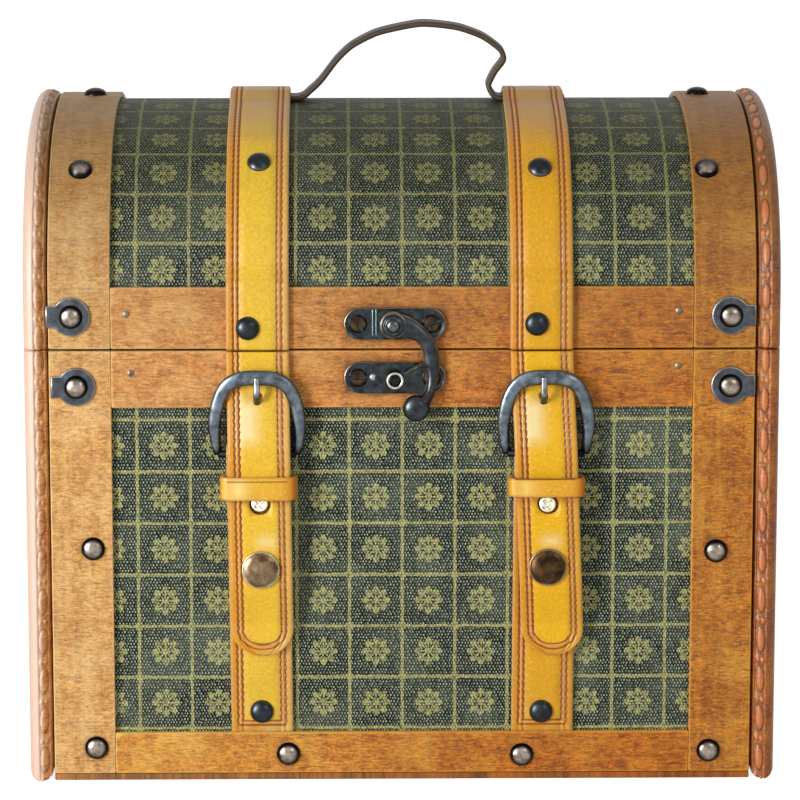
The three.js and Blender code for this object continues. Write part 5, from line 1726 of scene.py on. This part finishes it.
def rod_along_x(x0, x1, radius, height, offset):
    """A round bar between two places across the trunk."""
    path = np.array([(x, -half_depth - offset, height) for x in
                     (x0, x0 + 0.15, x1 - 0.15, x1)])
    ends = np.array([0.8, 1, 1, 0.8]) * 2 * radius
    out = np.tile([0, -1, 0], (4, 1))
    return tube(path, np.tile([0, 0, 1], (4, 1)), out, ends, ends)


def tongue():
    """The prong: a ring round the heel bar, then a bar that narrows to its tip."""
    top = heel_height + buckle_height
    on_bar = top_bar_offset + buckle_thickness / 2 + clearance + prong_thickness / 2
    reach = heel_radius + clearance / 2 + prong_thickness / 2
    turns = np.linspace(prong_ring_start, np.pi / 2, 30)
    ring = [(heel_offset + reach * math.cos(t), heel_height + reach * math.sin(t))
            for t in turns]
    line = np.array([*ring, (heel_offset, top - prong_slot[1] - prong_thickness),
                     (on_bar, top - prong_slot[0]), (on_bar, top - top_bar_width / 2),
                     (on_bar + 0.1, top + 0.4)])
    marks = run_along(line)
    at = np.linspace(0, marks[-1], prong_steps)
    flat = np.stack([np.interp(at, marks, line[:, k]) for k in (0, 1)], -1)
    flat[3:-3] = softened(flat, 3)[3:-3]
    path = np.stack([0 * at, -half_depth - flat[:, 0], flat[:, 1]], -1)
    tangent = unit(np.gradient(path, axis=0))
    side = np.tile([1.0, 0, 0], (len(at), 1))
    share = np.clip((at - marks[-1] + prong_taper) / prong_taper, 0, 1)
    wide = prong_width * (1.1 - 0.25 * share)
    thick = prong_thickness * (1 - 0.35 * share)
    return tube(path, side, np.cross(side, tangent), wide, thick)


for side, x in buckle_places.items():
    bar = rod_along_x(leg_lean - leg_offset, leg_offset - leg_lean, heel_radius, heel_height,
                      heel_offset)
    make(f"buckle_frame_{side}", leaned(horseshoe(), x), f"buckle_{side}", gunmetal)
    make(f"buckle_bar_{side}", leaned(bar, x), f"buckle_{side}", dark_iron)
    make(f"buckle_prong_{side}", leaned(tongue(), prong_places[side]), f"prong_{side}",
         lit_prong_iron)

# A pale brass screw holds the flap of each lower strap to the front board. Its broad head with
# a cross recess shows through a hole in the tail.
screw_shank_radius = 1.2
screw_length = 11.0
screw_flatness = 8.0
recess_half = 0.42
recess_depth = 0.6
cross_reach = 1.9
cross_turn = math.radians(38)
brass = metal("brass", (206, 198, 172), (240, 236, 216), (250, 248, 238), 0.34, 0.3)


def screw_parts(radius, rise, shank, length, arms, reach, turn=0.0, flatness=2.6):
    """A domed head on a shank, flatter on top the higher its power. The recess is pressed into
    the dome along its arms, each a band of even width that fades out at its reach."""
    sides = 96
    radii = np.concatenate([np.linspace(radius, radius * 0.9, 5)[:-1],
                            np.linspace(radius * 0.9, 0.05, 26)])
    angle = np.arange(sides) * 2 * np.pi / sides
    r, a = np.meshgrid(radii, angle, indexing="ij")
    dome = rise * np.sqrt(np.clip(1 - (r / radius) ** flatness, 0, 1))
    depth = np.zeros_like(r)
    for arm in range(arms):
        lean = turn + arm * np.pi / arms
        off_line = np.abs(-r * np.cos(a) * np.sin(lean) + r * np.sin(a) * np.cos(lean))
        band = np.clip((recess_half - off_line) / 0.12 + 0.5, 0, 1)
        depth = np.maximum(depth, band * np.clip((reach - r) / 0.25, 0, 1))
    z = dome - recess_depth * depth
    top = np.stack([r * np.cos(a), r * np.sin(a), z], -1)
    under = ((shank, -length), (shank, -0.05), (radius, -0.05))
    low = [np.stack([q * np.cos(angle), q * np.sin(angle), np.full(sides, h)], -1)
           for q, h in under]
    points, faces = poled(-length, np.concatenate([low, top]), z[-1].mean())
    edge = np.concatenate([np.zeros(1 + len(under) * sides),
                           np.where(depth > 0.5, 3, radius - r).ravel(), [3]])
    return points, faces, points[:, :2].copy(), edge


for side, (x, drop) in screw_places.items():
    form = screw_parts(screw_head_radius, screw_head_height, screw_shank_radius,
                       screw_length, 2, cross_reach, cross_turn, screw_flatness)
    make(f"strap_screw_{side}", placed(form, *on_front(x, seam_height - drop,
         flap_face + seat)), "base", brass)

# Snap caps are pressed from thin bronze with a rolled rim, browned and worn. Each is riveted
# through its tail to a socket ring, which closes on a stud in the lower strap.
snap_ring_radius = 4.0
snap_ring_bore = 2.8
snap_engagement = 0.6
snap_ring_low = lower_face + seat + stud_flange_height + stud_height - snap_engagement
stud_flange_radius = 3.4
stud_radius = 1.3
bronze = metal("bronze", (76, 56, 36), (138, 119, 90), (226, 214, 190), 0.3, 0.6, grain=0.9,
               coat=0.1)
# Painted shade: the right cap takes a darker copy of the bronze, for the side away from the key
# light.
shaded_bronze = metal("shaded_bronze", (36, 23, 9), (80, 58, 30), (196, 166, 136), 0.32, 0.5,
                    grain=0.9, coat=0.08)
snap_under = tail_over_snap + strap_thickness + clearance
cap_profile = [
    (0, snap_plate), (snap_ring_bore, snap_plate), (snap_ring_bore, snap_ring_low),
    (snap_ring_radius, snap_ring_low), (snap_ring_radius, snap_plate + snap_floor),
    (snap_post_radius, snap_plate + snap_floor), (snap_post_radius, snap_under)]
cap_profile += [(snap_cap_radius * r, snap_under + snap_cap_height * h) for r, h in (
    (0.95, 0.0), (0.99, 0.1), (1.0, 0.25), (0.985, 0.42), (0.94, 0.5), (0.91, 0.48),
    (0.88, 0.5), (0.8, 0.68), (0.65, 0.84), (0.45, 0.95), (0.2, 0.99), (0, 1.0))]
stud_foot = lower_face + seat
stud_top = stud_foot + stud_flange_height + stud_height
stud_profile = [
    (0, stud_foot), (stud_flange_radius, stud_foot),
    (stud_flange_radius, stud_foot + stud_flange_height / 2),
    (stud_flange_radius - 0.3, stud_foot + stud_flange_height),
    (stud_radius, stud_foot + stud_flange_height), (stud_radius, stud_top - snap_engagement),
    (stud_radius * 0.7, stud_top - snap_engagement / 3), (0, stud_top)]
for side, paint in (("left", bronze), ("right", shaded_bronze)):
    x, drop = snap_places[side]
    spot = on_front(x, seam_height - drop, 0)
    make(f"snap_cap_{side}", placed(revolved(cap_profile, 48), *spot), f"tail_{side}", paint)
    make(f"snap_stud_{side}", placed(revolved(stud_profile, 32), *spot), "base", brass)

# The clasp: two long black plates with round ends and raised rims, each held by two slotted
# brown screws. The upper one has a pressed double rib and carries the hook on a rivet, and the
# lower one a dished mushroom stud for the hook's notch and a small pip beside it.
clasp_length = 32.7
clasp_height = 10.3
clasp_thickness = 1.2
clasp_screw_inset = 4.6
clasp_screw_radius = 3.1
clasp_screw_rise = 0.55
clasp_screw_shank = 1.1
clasp_screw_length = 4.0
let_in = 0.3
clasp_rib_width = 0.62
clasp_rib_rise = 0.5
pivot_rise = 8.8
catch_drop = 9.2
pivot_radius = 1.6
pivot_head_radius = 3.3
pivot_head_rise = 1.7
catch_neck_radius = 1.4
catch_head_radius = 2.75
catch_head_height = 1.2
hook_thickness = 2.2
screw_turns = {"latch": (math.radians(-58), math.radians(20)),
               "catch": (math.radians(2), math.radians(70))}
plate_shift = {"latch": -0.3, "catch": 0.3}
hook_shift = (-0.6, -0.4)
pip_shift = (-7.0, 0.5)
clasp_iron = metal("clasp_iron", (10, 14, 15), (46, 56, 60), (150, 132, 104), 0.24, 0.9,
                   grain=1.3)
rib_iron = metal("rib_iron", (56, 76, 80), (84, 112, 118), (120, 146, 150), 0.3, 0.4)
plate_back = strip_face + seat
plate_face = plate_back + clasp_thickness
hook_back = plate_face + clearance
hook_face = hook_back + hook_thickness


def obround(length, height):
    """A long outline with half round ends."""
    r = height / 2
    turns = np.linspace(-np.pi / 2, np.pi / 2, 22)
    right = np.stack([length / 2 - r + r * np.cos(turns), r * np.sin(turns)], -1)
    return np.concatenate([right, -right])


rib_places = (-7.05, -5.95)
rib_half = 4.7
plate_floor = 0.84
rimmed_edge = ((0.0, 0.0), (0.0, 0.6), (0.12, 0.85), (0.35, 1.0), (0.75, 1.0), (0.95, 0.86),
               (1.3, plate_floor), (2.2, plate_floor))


def rib(x):
    """A narrow raised bar across a plate."""
    path = np.array([(x, z, plate_floor * clasp_thickness)
                     for z in np.linspace(-rib_half, rib_half, 15)])
    taper = np.minimum(1, 0.25 + (rib_half - np.abs(path[:, 1])) / 0.8)
    side = np.tile([1.0, 0, 0], (len(path), 1))
    out = np.tile([0, 0, 1.0], (len(path), 1))
    return tube(path, side, out, clasp_rib_width, 2 * clasp_rib_rise * taper)


screw_iron = rubbed_lit_iron("screw_iron", 0.6, 1.0, (44, 32, 22), (84, 64, 46), (130, 102, 76))
make("latch_rib", placed(joined(*(rib(x) for x in rib_places)), *on_front(
    clasp_centre, seam_height + pivot_rise, plate_back)), "lid", rib_iron)
for name, body, rise in (("latch", "lid", pivot_rise), ("catch", "base", -catch_drop)):
    height = seam_height + rise + plate_shift[name]
    form = plate(obround(clasp_length, clasp_height), clasp_thickness, rimmed_edge)
    make(f"{name}_plate", placed(form, *on_front(clasp_centre, height, plate_back)), body,
         clasp_iron)
    for which, sign, turn in zip(("left", "right"), (-1, 1), screw_turns[name]):
        x = clasp_centre + sign * (clasp_length / 2 - clasp_screw_inset)
        form = screw_parts(clasp_screw_radius, clasp_screw_rise, clasp_screw_shank,
                           clasp_screw_length, 1, clasp_screw_radius, turn)
        make(f"{name}_screw_{which}", placed(form, *on_front(x, height, plate_face - let_in)),
             body, screw_iron)
pivot_under = hook_face + clearance
pivot_profile = [(0, plate_back), (pivot_radius, plate_back), (pivot_radius, pivot_under)]
pivot_profile += [(pivot_head_radius * r, pivot_under + pivot_head_rise * h) for r, h in (
    (0.96, 0), (1, 0.12), (0.97, 0.28), (0.86, 0.32), (0.72, 0.22), (0.66, 0.5), (0.54, 0.76),
    (0.4, 0.9), (0.2, 0.98), (0, 1))]
stud_head = hook_face + clearance
catch_profile = [
    (0, plate_face - 0.2), (catch_neck_radius, plate_face - 0.2), (catch_neck_radius, stud_head)]
catch_profile += [(catch_head_radius * r, stud_head + catch_head_height * h) for r, h in (
    (0.94, 0), (1, 0.15), (1, 0.7), (0.94, 0.93), (0.84, 1.0), (0.76, 0.94), (0.7, 0.8),
    (0.35, 0.78), (0, 0.78))]
dish_radius = 1.95
dish_profile = [(0, 0), (dish_radius, 0), (dish_radius, 0.12), (dish_radius * 0.7, 0.06),
                (0, 0.02)]
pip_profile = [(0, 0), (1.2, 0), (1.1, 0.3), (0.8, 0.6), (0.4, 0.8), (0, 0.85)]
steel = metal("steel", (120, 118, 108), (176, 174, 164), (236, 234, 226), 0.26, 0.7)
rivet_iron = rubbed_lit_iron("rivet_iron", -0.6, 1.7, (64, 66, 66), (104, 108, 108),
                         (190, 190, 184))
# Painted shade: the stud's dish is lined with dark iron for the shade in its hollow.
dish_shade_iron = rubbed_lit_iron("dish_shade_iron", 0.1, 1.6, (30, 28, 24), (52, 48, 40), (120, 112, 96))
stud_at = (clasp_centre, seam_height - catch_drop)
make("latch_pivot", placed(revolved(pivot_profile, 40), *on_front(
     clasp_centre + hook_shift[0], seam_height + pivot_rise + hook_shift[1], 0)), "lid",
     rivet_iron)
make("catch_stud", placed(revolved(catch_profile, 40), *on_front(*stud_at, 0)), "base", steel)
make("catch_stud_dish", placed(revolved(dish_profile, 40), *on_front(
     *stud_at, stud_head + 0.8 * catch_head_height)), "base", dish_shade_iron)
make("catch_pip", placed(revolved(pip_profile, 24), *on_front(
     stud_at[0] + pip_shift[0], stud_at[1] + pip_shift[1], plate_face - let_in)), "base",
     steel)

# Brads are small headed pins of brown iron. One near each end holds the lid's front rail and
# the base's top rail. Places are from the trunk's middle and from the seam.
brad_profile = [(0, -0.4), (1.15, -0.4), (1.15, 0.1), (0.9, 0.4), (0.5, 0.55), (0, 0.6)]
brad_iron = metal("brad_iron", (66, 52, 38), (116, 100, 82), (170, 154, 132), 0.4)
brad_places = {"lid_left": (-88.0, 11.6), "lid_right": (88.1, 12.4),
               "base_left": (-86.7, -7.4), "base_right": (88.1, -5.4)}
for name, (x, rise) in brad_places.items():
    make(f"{name}_brad", placed(revolved(brad_profile, 20), *on_front(
        x, seam_height + rise, strip_face)), name.split("_")[0], brad_iron)

# The hook is forged in one piece: a round eye on the rivet, an arm that swings out to the right
# and down, a barb over the notch, and a ball to pull it by. Places are shares of its reach.
hook_reach = 28.1
hook_head_radius = 4.4
hook_ball_radius = 4.3
hook_ball_depth = 2.5
ball_share = (0.262, -0.95)
arm_shares = (
    ((0.06, 0.14), (0.05, -0.15)), ((0.18, 0.105), (0.13, -0.162)),
    ((0.3, 0.03), (0.2, -0.172)), ((0.38, -0.045), (0.25, -0.182)),
    ((0.44, -0.119), (0.285, -0.21)), ((0.482, -0.196), (0.314, -0.262)),
    ((0.513, -0.281), (0.332, -0.318)), ((0.53, -0.36), (0.34, -0.38)),
    ((0.534, -0.44), (0.346, -0.44)), ((0.528, -0.53), (0.366, -0.51)),
    ((0.51, -0.62), (0.385, -0.59)), ((0.497, -0.7), (0.383, -0.67)),
    ((0.482, -0.78), (0.358, -0.755)), ((0.452, -0.86), (0.285, -0.825)),
    ((0.41, -0.94), (0.15, -0.885)))
barb_shares = (
    ((0.47, -0.44), (0.46, -0.56)), ((0.39, -0.43), (0.39, -0.505)),
    ((0.31, -0.445), (0.315, -0.487)), ((0.235, -0.475), (0.25, -0.51)),
    ((0.17, -0.515), (0.18, -0.55)), ((0.128, -0.55), (0.132, -0.565)))


def forged(shares, thickness, swell=0.0, steps=60, across=13):
    """A bar between two edges given as shares of the hook's reach, softened by a moving
    average. Its front is a dome, which swells towards its end, and its back is flat."""
    edges = np.array(shares).reshape(-1, 4) * hook_reach
    marks = np.arange(len(edges))
    at = np.linspace(0, marks[-1], steps)
    first, second = np.hsplit(softened(np.stack(
        [np.interp(at, marks, column) for column in edges.T], -1), 3), 2)
    turn = np.linspace(0, np.pi, across)
    share = (1 - np.cos(turn)) / 2
    growth = 1 + swell * np.clip((at / marks[-1] - 0.7) / 0.3, 0, 1) ** 2
    dome = growth[:, None] * thickness * (0.15 + 0.85 * np.sin(turn) ** 0.9)
    front = first[:, None] * (1 - share[:, None]) + second[:, None] * share[:, None]
    top = np.concatenate([front, dome[..., None]], -1)
    low = np.concatenate([front[:, ::-1], np.zeros((*front.shape[:2], 1))], -1)
    points, faces = barrel(np.concatenate([top, low], 1))
    wide = np.linalg.norm(first - second, axis=1)[:, None]
    inset = np.concatenate([wide * np.minimum(share, 1 - share)[None],
                            np.full((steps, across), 0.5)], 1)
    return points, faces, points[:, :2].copy(), inset.ravel()


head_profile = [(0, 0), (hook_head_radius, 0)]
head_profile += [(hook_head_radius - i, hook_thickness * h) for i, h in (
    (0.0, 0.55), (0.15, 0.8), (0.5, 0.97), (1.0, 1.0))] + [(0, hook_thickness)]
ball_turns = np.linspace(-np.pi / 2, np.pi / 2, 25)
ball_profile = [(hook_ball_radius * math.cos(t), hook_ball_depth * (1 + math.sin(t)))
                for t in ball_turns]
ball_profile[0] = (0, 0)
ball_profile[-1] = (0, 2 * hook_ball_depth)
points, faces, uv, edge = revolved(ball_profile, 40)
ball_shift = np.array([ball_share[0] * hook_reach, ball_share[1] * hook_reach, 0])
ball = (points + ball_shift, faces, uv + ball_shift[:2], np.full(len(points), 2.0))
hook_parts = joined(revolved(head_profile, 48), forged(arm_shares, hook_thickness, 1.2),
                    forged(barb_shares, hook_thickness * 0.92), ball)
hook_iron = metal("hook_iron", (20, 22, 24), (50, 56, 62), (156, 138, 110), 0.28, 0.9,
                  grain=1.0)
make("latch_hook", placed(hook_parts, *on_front(clasp_centre + hook_shift[0],
     seam_height + pivot_rise + hook_shift[1], hook_back)), "hook", hook_iron)

# Two butt hinges of browned bronze on the back rails, each leaf with two screws. The leaves and
# knuckles are the solid model's own, so only their finish and the screws are made here.
hinge_centre = 70.0
hinge_screw_out = 7.0
hinge_screw_rise = 6.6
hinge_screw_radius = 1.9
hinge_screw_turn = math.radians(35)
hinge_thickness = 1.0
hinge_face = strip_face + seat + hinge_thickness
hinge_bronze, tree = new_material("hinge_bronze")
here = node(tree, "ShaderNodeTexCoord").outputs["Object"]
patch = noise(tree, here, 260.0)
pits = noise(tree, here, 2400.0)
tone = mixed(tree, ramp(tree, patch, (0.38, 0), (0.66, 1)), colour(84, 62, 40),
             colour(134, 102, 66))
tone = coated(tree, tone, (pits, 0.55, 0.72, 0.5, colour(182, 152, 110)))
finish(tree, tone, plus(tree, 0.3, times(tree, patch, 0.22)), pits, 0.04, metallic=1.0)
for side, x in (("left", -hinge_centre), ("right", hinge_centre)):
    for part in ("base", "lid"):
        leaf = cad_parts[f"hinge_{part}_{side}"]
        leaf.data.materials.clear()
        leaf.data.materials.append(hinge_bronze)
        height = seam_height + (hinge_screw_rise if part == "lid" else -hinge_screw_rise)
        for which, sign in (("inner", -1), ("outer", 1)):
            form = screw_parts(hinge_screw_radius, 0.6, 1.0, 3.0, 1, hinge_screw_radius,
                               sign * hinge_screw_turn)
            make(f"hinge_screw_{part}_{side}_{which}", placed(form, *on_back(
                 x + sign * hinge_screw_out, height, hinge_face)), part, brass)

# The handle is one strip of dark oiled leather. Its ends lie flat under the two straps, and
# between them it stands up in a bent arch, higher on the right. Places are shares of half the
# space between the straps and of the rise.
handle_rise = 26.0
handle_shares = (
    (-0.833, 0.15), (-0.734, 0.28), (-0.586, 0.54), (-0.44, 0.723), (-0.195, 0.888),
    (0.195, 0.996), (0.538, 0.954), (0.782, 0.838), (0.95, 0.673), (0.985, 0.542), (0.9, 0.38),
    (0.844, 0.215), (0.88, 0.1))
handle_pull = 0.35
handle_leather = leather("handle_leather", (50, 42, 28), (40, 32, 22), (44, 36, 24),
                         (72, 50, 30), (24, 18, 14), (84, 68, 46), 0.4, 0.4)


def handle_parts():
    """A Catmull-Rom line through the arch's points, with a flat section square to it."""
    inner = strap_centre - strap_half
    outer = strap_centre + strap_half - leather_seat
    flat = leather_seat + handle_thickness / 2
    rim = inner - handle_thickness / 2 - leather_seat
    knots = [(-outer, flat), (-rim, flat)]
    knots += [(x * inner, rise * handle_rise) for x, rise in handle_shares]
    knots = np.array([*knots, (rim, flat), (outer, flat)])
    longer = np.concatenate([2 * knots[:1] - knots[1:2], knots, 2 * knots[-1:] - knots[-2:-1]])
    t = np.linspace(0, 1, 14)[:-1, None]
    line = []
    for p0, p1, p2, p3 in zip(longer, longer[1:], longer[2:], longer[3:]):
        m1, m2 = handle_pull * (p2 - p0), handle_pull * (p3 - p1)
        line.append((2 * t**3 - 3 * t**2 + 1) * p1 + (t**3 - 2 * t**2 + t) * m1
                    + (3 * t**2 - 2 * t**3) * p2 + (t**3 - t**2) * m2)
    line = np.concatenate([*line, knots[-1:]])
    line[:, 1] = np.maximum(line[:, 1], flat)
    run = run_along(line)
    tangent = unit(np.gradient(line, axis=0))

    def place(station, offset):
        x, rise, tx, tz = (np.interp(station, run, v) for v in (*line.T, *tangent.T))
        return x - offset * tz, rise + offset * tx

    across = np.array([-1, -0.97, -0.92, -0.84, -0.7, -0.35, 0, 0.35, 0.7, 0.84, 0.92, 0.97, 1])
    across = across * handle_width / 2
    soft = 0.5 * np.clip(1 - (handle_width / 2 - np.abs(across)) / 0.9, 0, 1) ** 2
    half = handle_thickness / 2
    top = half * (1 - soft)
    points, faces, uv, edge = slab(place, evenly(0, run[-1], 0.8), across, top, -top)
    lean = nail_leans[1]
    y, z = lid_place(np.array(handle_station), 0.0)
    deep = np.array([0, math.cos(lean), math.sin(lean)])
    out = np.array([0, -math.sin(lean), math.cos(lean)])
    points = (np.array([0, float(y), float(z)]) + points[:, :1] * deep
              + points[:, 1:2] * np.array([1, 0, 0]) + points[:, 2:] * out)
    return points, faces, uv, edge


make("handle", handle_parts(), "lid", handle_leather)
